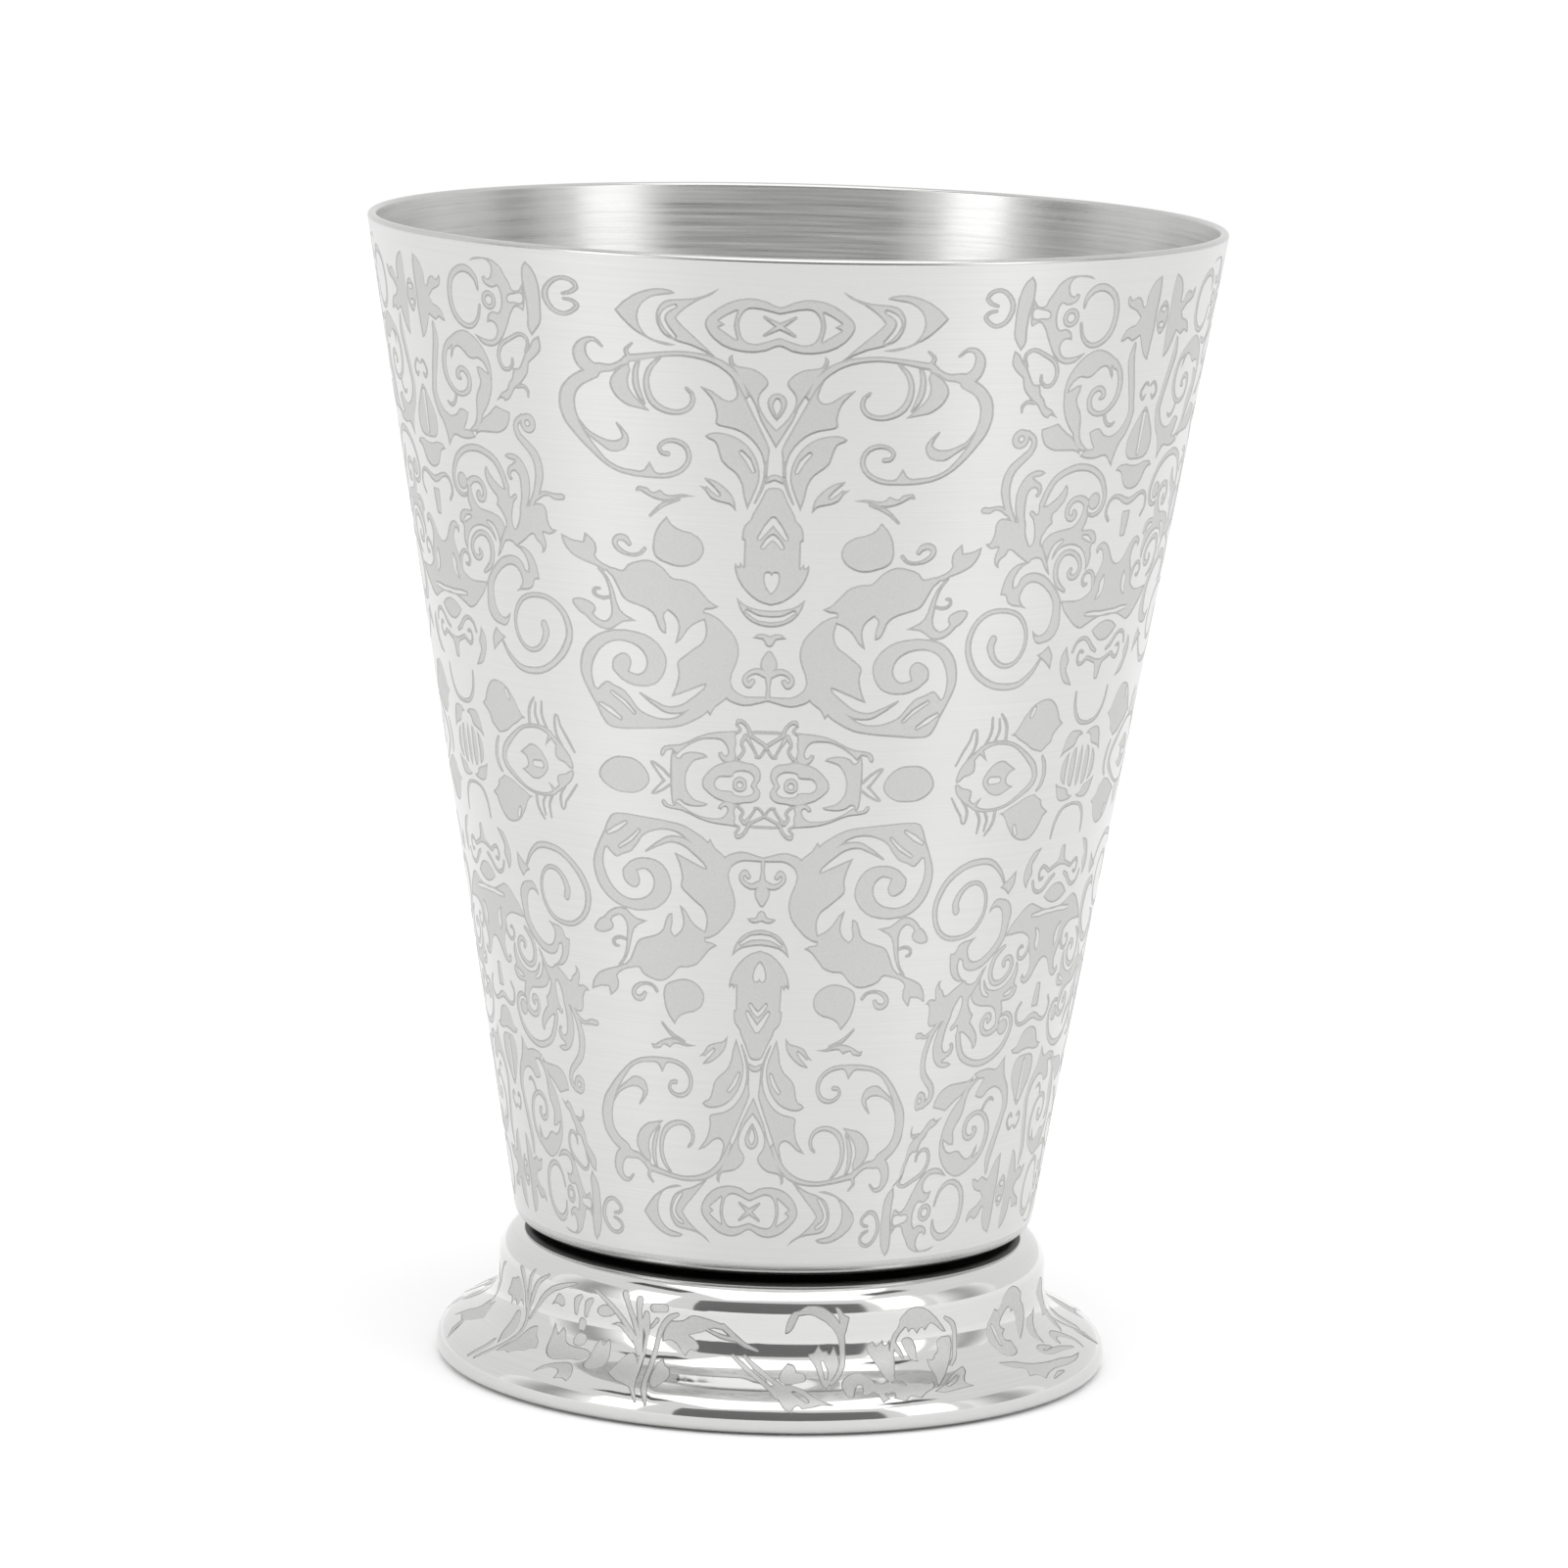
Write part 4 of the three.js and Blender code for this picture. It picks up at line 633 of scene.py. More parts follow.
    leaf((74.4, 12.6, TIP), (76.6, 13.6), (79.4, 13.8), (81.6, 12.8), (82.4, 11.0), (81.6, 9.2),
         (79.4, 7.8), (76.8, 7.2, TIP), (78.4, 8.8), (78.2, 9.8), (76.4, 9.8, TIP), (77.4, 10.8),
         (76.4, 11.6)),
    vine((83.6, 3.4, 0.2), (83.2, 5.6, 0.5), (82.2, 7.6, 0.5), (80.6, 9.2, 0.3)),
    leaf((84.4, 5.6, TIP), (86.0, 6.4), (86.8, 8.0), (86.2, 10.0, TIP), (84.8, 9.0), (84.2, 7.4)),
    leaf((-85.6, 5.0, TIP), (-83.4, 5.8), (-80.6, 5.6), (-77.6, 6.2), (-74.8, 7.6, TIP), (-76.6, 8.4),
         (-78.4, 9.8, TIP), (-80.4, 9.0), (-82.4, 9.4, TIP), (-83.4, 7.6), (-85.0, 6.6)),
    vine((-76.0, 3.4, 0.2), (-77.8, 4.6, 0.5), (-80.2, 6.8, 0.5), (-81.0, 9.4, 0.5), (-79.8, 12.0, 0.5),
         (-77.2, 13.8, 0.4), (-74.8, 14.4, 0.2)),
    vine((-81.0, 10.4, 0.4), (-83.2, 12.4, 0.7), (-85.6, 13.4, 0.3)),
]

PANEL_A = MEDALLION + GREAT_SCROLL + LEAFY_STEM + TULIP + DOLPHIN_LEAVES + CARTOUCHE
PANEL_B = FLOWER_HEAD + TALL_SCROLL + BRANCHING_TRUNK + WAIST


# Smooth curves through given points
def unit(step):
    return step / max(np.linalg.norm(step), TINY)


def smooth_path(points, sharp, closed):
    """Points along a curve that passes through each given point, with corners where they are sharp."""
    count = len(points)
    spans = count if closed else count - 1
    path = []
    for i in range(spans):
        start = points[i]
        end = points[(i + 1) % count]
        chord = end[:2] - start[:2]
        reach = np.linalg.norm(chord)
        leaving = unit(chord)
        arriving = leaving
        if not sharp[i] and (closed or i > 0):
            leaving = unit(end[:2] - points[i - 1][:2])
        if not sharp[(i + 1) % count] and (closed or i + 2 < count):
            arriving = unit(points[(i + 2) % count][:2] - start[:2])
        for step in range(SMOOTH_STEPS):
            t = step / SMOOTH_STEPS
            ease = t * t * (3 - 2 * t)
            place = start[:2] + chord * ease
            place = place + leaving * reach * (t * (1 - t) ** 2) + arriving * reach * (t * t * (t - 1))
            width = start[2:] + (end[2:] - start[2:]) * t
            path.append(np.concatenate([place, width]))
    if not closed:
        path.append(points[-1])
    return np.array(path)


def fold(rows, marks, axis, line):
    """Add the mirror image of a chain of points, without doubling those on the line."""
    image = []
    image_marks = []
    for row, mark in zip(reversed(rows), reversed(marks)):
        if abs(row[axis] - line) > ON_LINE:
            other = row.copy()
            other[axis] = 2 * line - other[axis]
            image.append(other)
            image_marks.append(mark)
    return rows + image, marks + image_marks


def mirrored_shut(points, sharp, side):
    """Close an outline that ends on a line of symmetry by mirroring it there."""
    ends = (points[0], points[-1])
    on_axis = [abs(p[0] - side) < ON_LINE for p in ends]
    on_middle = [abs(p[1] - MIDDLE_HEIGHT) < ON_LINE for p in ends]
    rows = [np.array(p) for p in points]
    marks = list(sharp)
    if any(on_middle):
        if on_axis[1]:
            rows, marks = fold(rows, marks, 0, side)
            rows, marks = fold(rows, marks, 1, MIDDLE_HEIGHT)
        elif all(on_middle):
            rows, marks = fold(rows, marks, 1, MIDDLE_HEIGHT)
    elif all(on_axis):
        rows, marks = fold(rows, marks, 0, side)
    return rows, marks


# Distance fields, in millimetres, less than nothing inside a shape
def along_line(a, run, xs, ys):
    """How far along a line each place lies, as a share of the line."""
    t = ((xs - a[0]) * run[0] + (ys - a[1]) * run[1]) / max(run @ run, TINY_SQUARE)
    return np.clip(t, 0, 1)


def capsule_field(path, xs, ys):
    if len(path) == 1:
        return np.hypot(xs - path[0][0], ys - path[0][1]) - path[0][2] / 2
    field = np.full(xs.shape, FAR)
    for a, b in zip(path[:-1], path[1:]):
        run = b[:2] - a[:2]
        t = along_line(a, run, xs, ys)
        away = np.hypot(xs - a[0] - run[0] * t, ys - a[1] - run[1] * t)
        field = np.minimum(field, away - (a[2] + (b[2] - a[2]) * t) / 2)
    return field


def outline_field(path, xs, ys):
    nearest = np.full(xs.shape, FAR ** 2)
    inside = np.zeros(xs.shape, dtype=bool)
    for a, b in zip(path, np.roll(path, -1, axis=0)):
        run = b - a
        t = along_line(a, run, xs, ys)
        away = (xs - a[0] - run[0] * t) ** 2 + (ys - a[1] - run[1] * t) ** 2
        nearest = np.minimum(nearest, away)
        if a[1] != b[1]:
            crosses = (ys < a[1]) != (ys < b[1])
            at = a[0] + (ys - a[1]) * run[0] / run[1]
            inside ^= crosses & (xs < at)
    return np.where(inside, -1.0, 1.0) * np.sqrt(nearest)


def draw(field, grid_x, grid_y, shapes, degree, start=0.0, sense=1.0, mirrored=True, stroke=1.0):
    """Add shapes to a field, or take clear ones out of it, in the order given."""
    for kind, clear, points in shapes:
        places = []
        marks = []
        for point in points:
            width = point[2] * stroke if kind == "vine" else 0.0
            places.append(np.array([start + sense * point[0], point[1], width]))
            marks.append(kind == "leaf" and len(point) > 2)
        if kind == "leaf" and mirrored:
            places, marks = mirrored_shut(places, marks, start)
        places = [p * np.array([degree, 1.0, 1.0]) for p in places]
        if len(places) == 1:
            path = np.array(places)
        else:
            path = smooth_path(places, marks, kind == "leaf")
        low = path[:, :2].min(axis=0) - SHAPE_ROOM - path[:, 2].max() / 2
        high = path[:, :2].max(axis=0) + SHAPE_ROOM + path[:, 2].max() / 2
        i0, i1 = np.searchsorted(grid_x, [low[0], high[0]])
        j0, j1 = np.searchsorted(grid_y, [low[1], high[1]])
        if i0 >= i1 or j0 >= j1:
            continue
        xs, ys = np.meshgrid(grid_x[i0:i1], grid_y[j0:j1])
        if kind == "vine":
            part = capsule_field(path, xs, ys)
        else:
            part = outline_field(path[:, :2], xs, ys)
        window = field[j0:j1, i0:i1]
        if clear:
            field[j0:j1, i0:i1] = np.maximum(window, -part)
        else:
            field[j0:j1, i0:i1] = np.minimum(window, part)


# Which edges of a square a level line joins, for each way that its corners can lie above the level
SQUARE_LINES = {
    1: [(3, 0)], 2: [(0, 1)], 3: [(3, 1)], 4: [(1, 2)], 5: [(3, 2), (0, 1)], 6: [(0, 2)], 7: [(3, 2)],
    8: [(2, 3)], 9: [(2, 0)], 10: [(0, 3), (1, 2)], 11: [(2, 1)], 12: [(1, 3)], 13: [(1, 0)], 14: [(0, 3)],
}


def contours(field, grid_x, grid_y, level):
    """Chains of points along a field's level, from marching squares."""
    value = field - level
    value = np.where(value == 0, TINY, value)
    high = value > 0
    cells = high[:-1, :-1].astype(int) + 2 * high[:-1, 1:] + 4 * high[1:, 1:] + 8 * high[1:, :-1]
    links = {}
    rows, columns = np.nonzero((cells > 0) & (cells < 15))
    for j, i in zip(rows.tolist(), columns.tolist()):
        edges = [(0, j, i), (1, j, i + 1), (0, j + 1, i), (1, j, i)]
        for first, second in SQUARE_LINES[cells[j, i]]:
            links.setdefault(edges[first], []).append(edges[second])
            links.setdefault(edges[second], []).append(edges[first])

    def place(edge):
        upright, j, i = edge
        if upright:
            t = value[j, i] / (value[j, i] - value[j + 1, i])
            return (grid_x[i], grid_y[j] + t * (grid_y[j + 1] - grid_y[j]))
        t = value[j, i] / (value[j, i] - value[j, i + 1])
        return (grid_x[i] + t * (grid_x[i + 1] - grid_x[i]), grid_y[j])

    ends = [edge for edge, near in links.items() if len(near) == 1]
    chains = []
    for start in ends + list(links):
        if not links.get(start):
            continue
        chain = [start]
        while links[chain[-1]]:
            following = links[chain[-1]].pop()
            links[following].remove(chain[-1])
            chain.append(following)
        if len(chain) > 3:
            chains.append(np.array([place(edge) for edge in chain]))
    return chains


def thin_out(chain):
    """Drop the points of a chain that its neighbours' straight lines already follow."""
    keep = np.zeros(len(chain), dtype=bool)
    keep[0] = True
    keep[-1] = True
    stack = [(0, len(chain) - 1)]
    if np.allclose(chain[0], chain[-1]):
        half = len(chain) // 2
        keep[half] = True
        stack = [(0, half), (half, len(chain) - 1)]
    while stack:
        a, b = stack.pop()
        if b - a < 2:
            continue
        run = chain[b] - chain[a]
        away = chain[a + 1:b] - chain[a]
        offset = np.abs(away[:, 0] * run[1] - away[:, 1] * run[0]) / max(np.hypot(*run), TINY)
        far = int(offset.argmax())
        if offset[far] > FLATNESS:
            middle = a + 1 + far
            keep[middle] = True
            stack.append((a, middle))
            stack.append((middle, b))
    return chain[keep]


def sample(field, grid_x, grid_y, xs, ys):
    """A field's value between its grid points."""
    i = np.clip(np.searchsorted(grid_x, xs) - 1, 0, len(grid_x) - 2)
    j = np.clip(np.searchsorted(grid_y, ys) - 1, 0, len(grid_y) - 2)
    s = np.clip((xs - grid_x[i]) / (grid_x[i + 1] - grid_x[i]), 0, 1)
    t = np.clip((ys - grid_y[j]) / (grid_y[j + 1] - grid_y[j]), 0, 1)
    low = field[j, i] * (1 - s) + field[j, i + 1] * s
    high = field[j + 1, i] * (1 - s) + field[j + 1, i + 1] * s
    return low * (1 - t) + high * t


def etched_sheet(field, grid_x, grid_y, step_x, step_y, edge, both_rims=False):
    """Flat triangles of an etched drawing: points, corners, depth at points, zone of triangles."""
    points = []
    edges = []
    for level in (0.0, -edge):
        for chain in contours(field, grid_x, grid_y, level):
            chain = thin_out(chain)
            shut = np.allclose(chain[0], chain[-1])
            body = chain[:-1] if shut else chain
            first = len(points)
            points.extend(body.tolist())
            for k in range(len(body) - 1):
                edges.append((first + k, first + k + 1))
            if shut:
                edges.append((first + len(body) - 1, first))

    # Points of a coarse grid, where no line is near; all of them on the rims that meet a turned surface
    width = grid_x[-1] - grid_x[0]
    height = grid_y[-1] - grid_y[0]
    across = int(round(width / step_x))
    upward = int(round(height / step_y))
    for i in range(across + 1):
        for j in range(upward + 1):
            x = grid_x[0] + width * i / across
            y = grid_y[0] + height * j / upward
            corner = i in (0, across) and j in (0, upward)
            rim = j == upward or (both_rims and j == 0)
            clearance = abs(float(sample(field, grid_x, grid_y, np.array([x]), np.array([y]))[0]))
            clearance = min(clearance, abs(clearance - edge))
            if corner or rim or clearance > LINE_ROOM:
                points.append([x, y])
    flat = [Vector(p) for p in points]
    result = delaunay_2d_cdt(flat, edges, [], 0, MERGE)

    # Points at the borders go back exactly onto them, and onto the columns of the rims
    places = np.array([[p.x, p.y] for p in result[0]])
    for axis, lines in ((0, (grid_x[0], grid_x[-1])), (1, (grid_y[0], grid_y[-1]))):
        for line in lines:
            places[np.abs(places[:, axis] - line) < SNAP, axis] = line
    column = width / across
    turns = (places[:, 0] - grid_x[0]) / column
    rim = (np.abs(places[:, 1] - grid_y[0]) < ON_LINE) | (np.abs(places[:, 1] - grid_y[-1]) < ON_LINE)
    snap = rim & (np.abs(turns - np.round(turns)) * column < SNAP)
    places[snap, 0] = grid_x[0] + np.round(turns[snap]) * column

    corners = np.array(result[2])
    value = sample(field, grid_x, grid_y, places[:, 0], places[:, 1])
    depth = ETCH_DEPTH * np.clip(-value / edge, 0, 1)
    middle = places[corners].mean(axis=1)
    value = sample(field, grid_x, grid_y, middle[:, 0], middle[:, 1])
    zone = np.where(value > 0, GROUND, np.where(value > -edge, EDGE, ETCHED))
    a = places[corners[:, 1]] - places[corners[:, 0]]
    b = places[corners[:, 2]] - places[corners[:, 0]]
    area = a[:, 0] * b[:, 1] - a[:, 1] * b[:, 0]
    corners = np.where((area < 0)[:, None], corners[:, ::-1], corners)
    solid = np.abs(area) > TINY
    return places, corners[solid], depth, zone[solid]


def blank(width, low, high):
    """Grid lines and an empty field for a drawing of some width between two heights."""
    grid_x = np.linspace(0, width, int(round(width / CELL)) + 1)
    grid_y = np.linspace(low, high, int(round((high - low) / CELL)) + 1)
    return grid_x, grid_y, np.full((len(grid_y), len(grid_x)), 1.0)


# Meshes
def around(angle, radius, height):
    """A place or a normal at an angle round the axis from the front."""
    return (radius * math.sin(angle), -radius * math.cos(angle), height)


def facet(corners):
    """Normal of a flat triangle."""
    square = np.cross(corners[1] - corners[0], corners[2] - corners[0])
    return tuple(square / max(np.linalg.norm(square), TINY_SQUARE))


class Skin:
    """Points, faces, material numbers and the normal of each face corner, gathered into one mesh."""

    def __init__(self):
        self.points = []
        self.known = {}
        self.faces = []
        self.slots = []
        self.normals = []

    def point(self, x, y, z):
        key = (round(x * WELDS_PER_MM), round(y * WELDS_PER_MM), round(z * WELDS_PER_MM))
        if key not in self.known:
            self.known[key] = len(self.points)
            self.points.append((x * MM, y * MM, z * MM))
        return self.known[key]

    def face(self, corners, slot, normals):
        chosen = []
        facing = []
        for corner, normal in zip(corners, normals):
            if corner not in chosen:
                chosen.append(corner)
                facing.append(normal)
        if len(chosen) > 2:
            self.faces.append(chosen)
            self.slots.append(slot)
            self.normals.extend(facing)

    def stamped(self, drawing, located, mirrored=False):
        """Lay a drawing on. For a place in it, located gives the angle, radius, height and normal."""
        places, corners, depth, zone = drawing
        numbers = []
        facing = []
        spots = []
        for place, sunk in zip(places.tolist(), depth.tolist()):
            angle, r, z, nr, nz = located(*place)
            spot = around(angle, r - nr * sunk, z - nz * sunk)
            spots.append(spot)
            numbers.append(self.point(*spot))
            facing.append(around(angle, nr, nz))
        spots = np.array(spots)
        for triple, area in zip(corners.tolist(), zone.tolist()):
            if mirrored:
                triple = triple[::-1]
            normals = [facing[k] for k in triple]
            if area == EDGE:
                normals = [facet(spots[triple])] * 3
            self.face([numbers[k] for k in triple], area, normals)

    def turned(self, profile, slots, angles):
        """Rings of faces from a profile of radius, height and normal, seen from outside it."""
        count = len(angles)
        rings = []
        for r, z, nr, nz in profile:
            rings.append([(self.point(*around(a, r, z)), around(a, nr, nz)) for a in angles])
        for low, high, slot in zip(rings[:-1], rings[1:], slots):
            for k in range(count):
                n = (k + 1) % count
                quad = (low[k], low[n], high[n], high[k])
                self.face([q[0] for q in quad], slot, [q[1] for q in quad])

    def made(self, name, materials):
        mesh = bpy.data.meshes.new(name)
        mesh.from_pydata(self.points, [], self.faces)
        for material in materials:
            mesh.materials.append(material)
        mesh.polygons.foreach_set("material_index", self.slots)
        mesh.polygons.foreach_set("use_smooth", [True] * len(self.faces))
        mesh.normals_split_custom_set(self.normals)
        mesh.update()
        piece = bpy.data.objects.new(name, mesh)
        bpy.context.scene.collection.objects.link(piece)
        return piece


# Turned profiles
DOWN = -math.pi / 2
UP = math.pi / 2
COLUMNS = [COLUMN * k for k in range(int(round(360 / COLUMN)))]


def round_points(centre, radius, start, end, steps, sense=1.0):
    """A round of a profile with its normals; sense is -1 where the metal is outside the round."""
    rows = []
    for k in range(steps + 1):
        a = start + (end - start) * k / steps
        rows.append((centre[0] + radius * math.cos(a), centre[1] + radius * math.sin(a),
                     sense * math.cos(a), sense * math.sin(a)))
    return rows


# Cup
CUP_BOTTOM = FOOT_HEIGHT + BRAZE_THICKNESS
LIP_ROUND = CUP_SHEET / 2
LIP_CENTRE = (RIM_RADIUS - LIP_ROUND - FACET_ROOM, OVERALL_HEIGHT - LIP_ROUND - FACET_ROOM)
LIP_REACH = (LIP_CENTRE[0] - CUP_BASE_RADIUS, LIP_CENTRE[1] - CUP_BOTTOM)
CUP_LEAN = math.atan2(*LIP_REACH) + math.asin(LIP_ROUND / math.hypot(*LIP_REACH))
CUP_OUTSIDE_BEND = CUP_INSIDE_BEND + CUP_SHEET
CUP_BEND_REACH = CUP_OUTSIDE_BEND / math.tan((math.pi / 2 + CUP_LEAN) / 2)
CUP_BEND_CENTRE = (CUP_BASE_RADIUS - CUP_BEND_REACH, CUP_BOTTOM + CUP_OUTSIDE_BEND)
WALL_NORMAL = (math.cos(CUP_LEAN), -math.sin(CUP_LEAN))


def wall_row(z):
    """Radius, height and normal of the conical wall's outside."""
    base = LIP_CENTRE[0] + LIP_ROUND * math.cos(CUP_LEAN)
    level = LIP_CENTRE[1] - LIP_ROUND * math.sin(CUP_LEAN)
    return (base + (z - level) * math.tan(CUP_LEAN), z, *WALL_NORMAL)


def scrollwork():
    degree = math.radians(DRAWING_RADIUS)
    grid_x, grid_y, field = blank(TWELFTH * degree, MIDDLE_HEIGHT, TOP_HEIGHT)
    draw(field, grid_x, grid_y, PANEL_A, degree)
    draw(field, grid_x, grid_y, PANEL_B, degree, start=TWELFTH, sense=-1.0)
    places, corners, depth, zone = etched_sheet(field, grid_x, grid_y, COLUMN * degree, ROW, SCROLL_EDGE)
    return places / np.array([degree, 1.0]), corners, depth, zone


def eased(share):
    share = min(max(share, 0.0), 1.0)
    return share * share * (3.0 - 2.0 * share)


def strayed(angle, z):
    """Where the etching lies round the cup, in degrees, for its even place at an angle and a height.

    It leans a little. The left upright panel lies too far out. Towards the bottom the middle drifts to the
    left and the right upright panel comes in.
    """
    turn = (angle + 180.0) % 360.0 - 180.0
    left = np.interp(turn, LEFT_AT, LEFT_STRAY)
    middle = np.interp(turn, MIDDLE_AT, MIDDLE_STRAY)
    ramp = RIGHT_START - HEARTS_REACH * eased((HEARTS_FROM - z) / HEARTS_FADE)
    right = min(max((turn - ramp) / RIGHT_RAMP, 0.0), 1.0) * np.interp(turn, RIGHT_AT, RIGHT_STRAY)
    low = eased((STRAY_FROM - z) / STRAY_FADE)
    return angle + PATTERN_TURN + PATTERN_LEAN * (z - MIDDLE_HEIGHT) + left + low * (middle + right)


def on_wall(repeat, sideways, upright):
    """A function that places one copy of the scrollwork's drawing on the wall."""
    def located(angle, z):
        if upright < 0:
            z = np.interp(z, UPPER_HEIGHTS, LOWER_HEIGHTS)
        turn = strayed(sideways * angle + 2 * TWELFTH * repeat, z)
        return (math.radians(turn), *wall_row(z))
    return located


def make_cup(materials):
    skin = Skin()
    drawing = scrollwork()
    for repeat in range(REPEATS):
        for sideways in (1, -1):
            for upright in (1, -1):
                skin.stamped(drawing, on_wall(repeat, sideways, upright), sideways * upright < 0)

    low = LOWER_HEIGHTS[-1]
    under = [(0, CUP_BOTTOM, 0, -1), (DISC_RING, CUP_BOTTOM, 0, -1)]
    under += round_points(CUP_BEND_CENTRE, CUP_OUTSIDE_BEND, DOWN, POLISH_FROM, BEND_STEPS)
    # The flat bottom and the round up to the polish take the painted shade
    under_slots = [PAINTED_SHADE_UNDERSIDE] * (len(under) - 1)
    under += round_points(CUP_BEND_CENTRE, CUP_OUTSIDE_BEND, POLISH_FROM, -CUP_LEAN, POLISHED_BEND_STEPS)[1:]
    under_slots += [LIP] * POLISHED_BEND_STEPS
    under.append(wall_row(low))
    under_slots.append(GROUND)
    skin.turned(under, under_slots, [math.radians(strayed(c, low)) for c in COLUMNS])

    over = [wall_row(TOP_HEIGHT)]
    over += round_points(LIP_CENTRE, LIP_ROUND, -CUP_LEAN, math.pi - CUP_LEAN, LIP_STEPS)
    over_slots = [GROUND] + [LIP] * LIP_STEPS
    bend = round_points(CUP_BEND_CENTRE, CUP_INSIDE_BEND, -CUP_LEAN, DOWN, INSIDE_BEND_STEPS, sense=-1.0)
    top = over[-1]
    for k in range(1, INSIDE_WALL_STEPS):
        t = k / INSIDE_WALL_STEPS
        over.append((top[0] + (bend[0][0] - top[0]) * t, top[1] + (bend[0][1] - top[1]) * t,
                     -WALL_NORMAL[0], -WALL_NORMAL[1]))
    over += bend
    over.append((DISC_RING, CUP_BOTTOM + CUP_SHEET, 0, 1))
    over.append((0, CUP_BOTTOM + CUP_SHEET, 0, 1))
    over_slots += [INSIDE] * (len(over) - 1 - len(over_slots))
    skin.turned(over, over_slots, [math.radians(strayed(c, TOP_HEIGHT)) for c in COLUMNS])
    return skin.made("etched_cup", materials)


# Foot
def flare(t, inset):
    """A point of the flare's outside, moved into the sheet by an inset, with its normal."""
    control = np.array([(FOOT_EDGE_RADIUS, FOOT_EDGE_HEIGHT),
                        (FOOT_EDGE_RADIUS, FOOT_EDGE_HEIGHT + FLARE_SWELL),
                        (NECK_RADIUS, NECK_BOTTOM_HEIGHT - COVE_DEPTH),
                        (NECK_RADIUS, NECK_BOTTOM_HEIGHT)])
    weights = np.array([(1 - t) ** 3, 3 * t * (1 - t) ** 2, 3 * t * t * (1 - t), t ** 3])
    slopes = np.array([-3 * (1 - t) ** 2, 3 * (1 - t) ** 2 - 6 * t * (1 - t), 6 * t * (1 - t) - 3 * t * t,
                       3 * t * t])
    place = weights @ control
    along = unit(slopes @ control)
    outward = np.array([along[1], -along[0]])
    place = place - outward * inset
    return (place[0], place[1], outward[0], outward[1])


def sprigs():
    degree = math.radians(SPRIG_RADIUS)
    grid_x, grid_y, field = blank(SPRIG_TURN * degree, SPRIG_LOW, SPRIG_HIGH)
    draw(field, grid_x, grid_y, FOOT_SPRIGS, degree, start=SPRIG_TURN / 2, mirrored=False,
         stroke=SPRIG_STROKE)
    places, corners, depth, zone = etched_sheet(field, grid_x, grid_y, COLUMN * degree, SPRIG_ROW,
                                                SPRIG_EDGE, both_rims=True)
    return places / np.array([degree, 1.0]), corners, depth, zone


def make_foot(materials):
    skin = Skin()
    angles = [math.radians(c) for c in COLUMNS]
    shoulder_outside = SHOULDER_INSIDE_BEND + FOOT_SHEET
    shoulder_centre = (NECK_RADIUS - shoulder_outside, FOOT_HEIGHT - shoulder_outside)
    hem_outside = HEM_INSIDE_BEND + FOOT_SHEET
    hem_centre = (FOOT_EDGE_RADIUS - hem_outside, hem_outside)

    outside = [(HEM_INNER_RADIUS, 0, 0, -1)]
    outside += round_points(hem_centre, hem_outside, DOWN, 0, HEM_STEPS)
    outside += [flare(k / FLARE_STEPS, 0) for k in range(FLARE_STEPS + 1)]
    outside += round_points(shoulder_centre, shoulder_outside, 0, UP, SHOULDER_STEPS)
    rows = np.array(outside)
    flange = FOOT_EDGE_RADIUS - hem_outside - HEM_INNER_RADIUS
    climb = np.hypot(np.diff(rows[:, 0]), np.diff(rows[:, 1]))
    climb = np.concatenate([[0], np.cumsum(climb)]) - flange

    def up_profile(s):
        r, z, nr, nz = [float(np.interp(s, climb, rows[:, k])) for k in range(4)]
        size = math.hypot(nr, nz)
        return (r, z, nr / size, nz / size)

    def on_foot(half):
        def located(angle, s):
            return (math.radians(angle + SPRIG_TURN * half - SPRIG_TURN / 2), *up_profile(s))
        return located

    drawing = sprigs()
    for half in range(2):
        skin.stamped(drawing, on_foot(half))

    below = [row for row, s in zip(outside, climb) if s < SPRIG_LOW - RING_ROOM]
    below.append(up_profile(SPRIG_LOW))
    skin.turned(below, [GROUND] * (len(below) - 1), angles)
    above = [up_profile(SPRIG_HIGH)]
    above += [row for row, s in zip(outside, climb) if s > SPRIG_HIGH + RING_ROOM]
    above.append((DISC_RING, FOOT_HEIGHT, 0, 1))
    above.append((0, FOOT_HEIGHT, 0, 1))
    skin.turned(above, [GROUND] * (len(above) - 1), angles)

    ceiling = FOOT_HEIGHT - FOOT_SHEET
    inside = [(0, ceiling, 0, -1), (DISC_RING, ceiling, 0, -1)]
    inside += round_points(shoulder_centre, SHOULDER_INSIDE_BEND, UP, 0, SHOULDER_INSIDE_STEPS, sense=-1.0)
    for k in range(FLARE_STEPS, -1, -2):
        r, z, nr, nz = flare(k / FLARE_STEPS, FOOT_SHEET)
        inside.append((r, z, -nr, -nz))
    inside += round_points(hem_centre, HEM_INSIDE_BEND, 0, DOWN, HEM_INSIDE_STEPS, sense=-1.0)
    inside.append((HEM_INNER_RADIUS, FOOT_SHEET, 0, 1))
    skin.turned(inside, [INSIDE] * (len(inside) - 1), angles)
    hem = [(HEM_INNER_RADIUS, FOOT_SHEET, -1, 0), (HEM_INNER_RADIUS, 0, -1, 0)]
    skin.turned(hem, [INSIDE], angles)
    return skin.made("polished_foot", materials)


# Materials

# Values between which most of a noise lies, the grain's turn as a share of a turn, and blue in the greys
NOISE_LOW = 0.3
NOISE_HIGH = 0.7
QUARTER_TURN = 0.25
WARMTH = 0.995

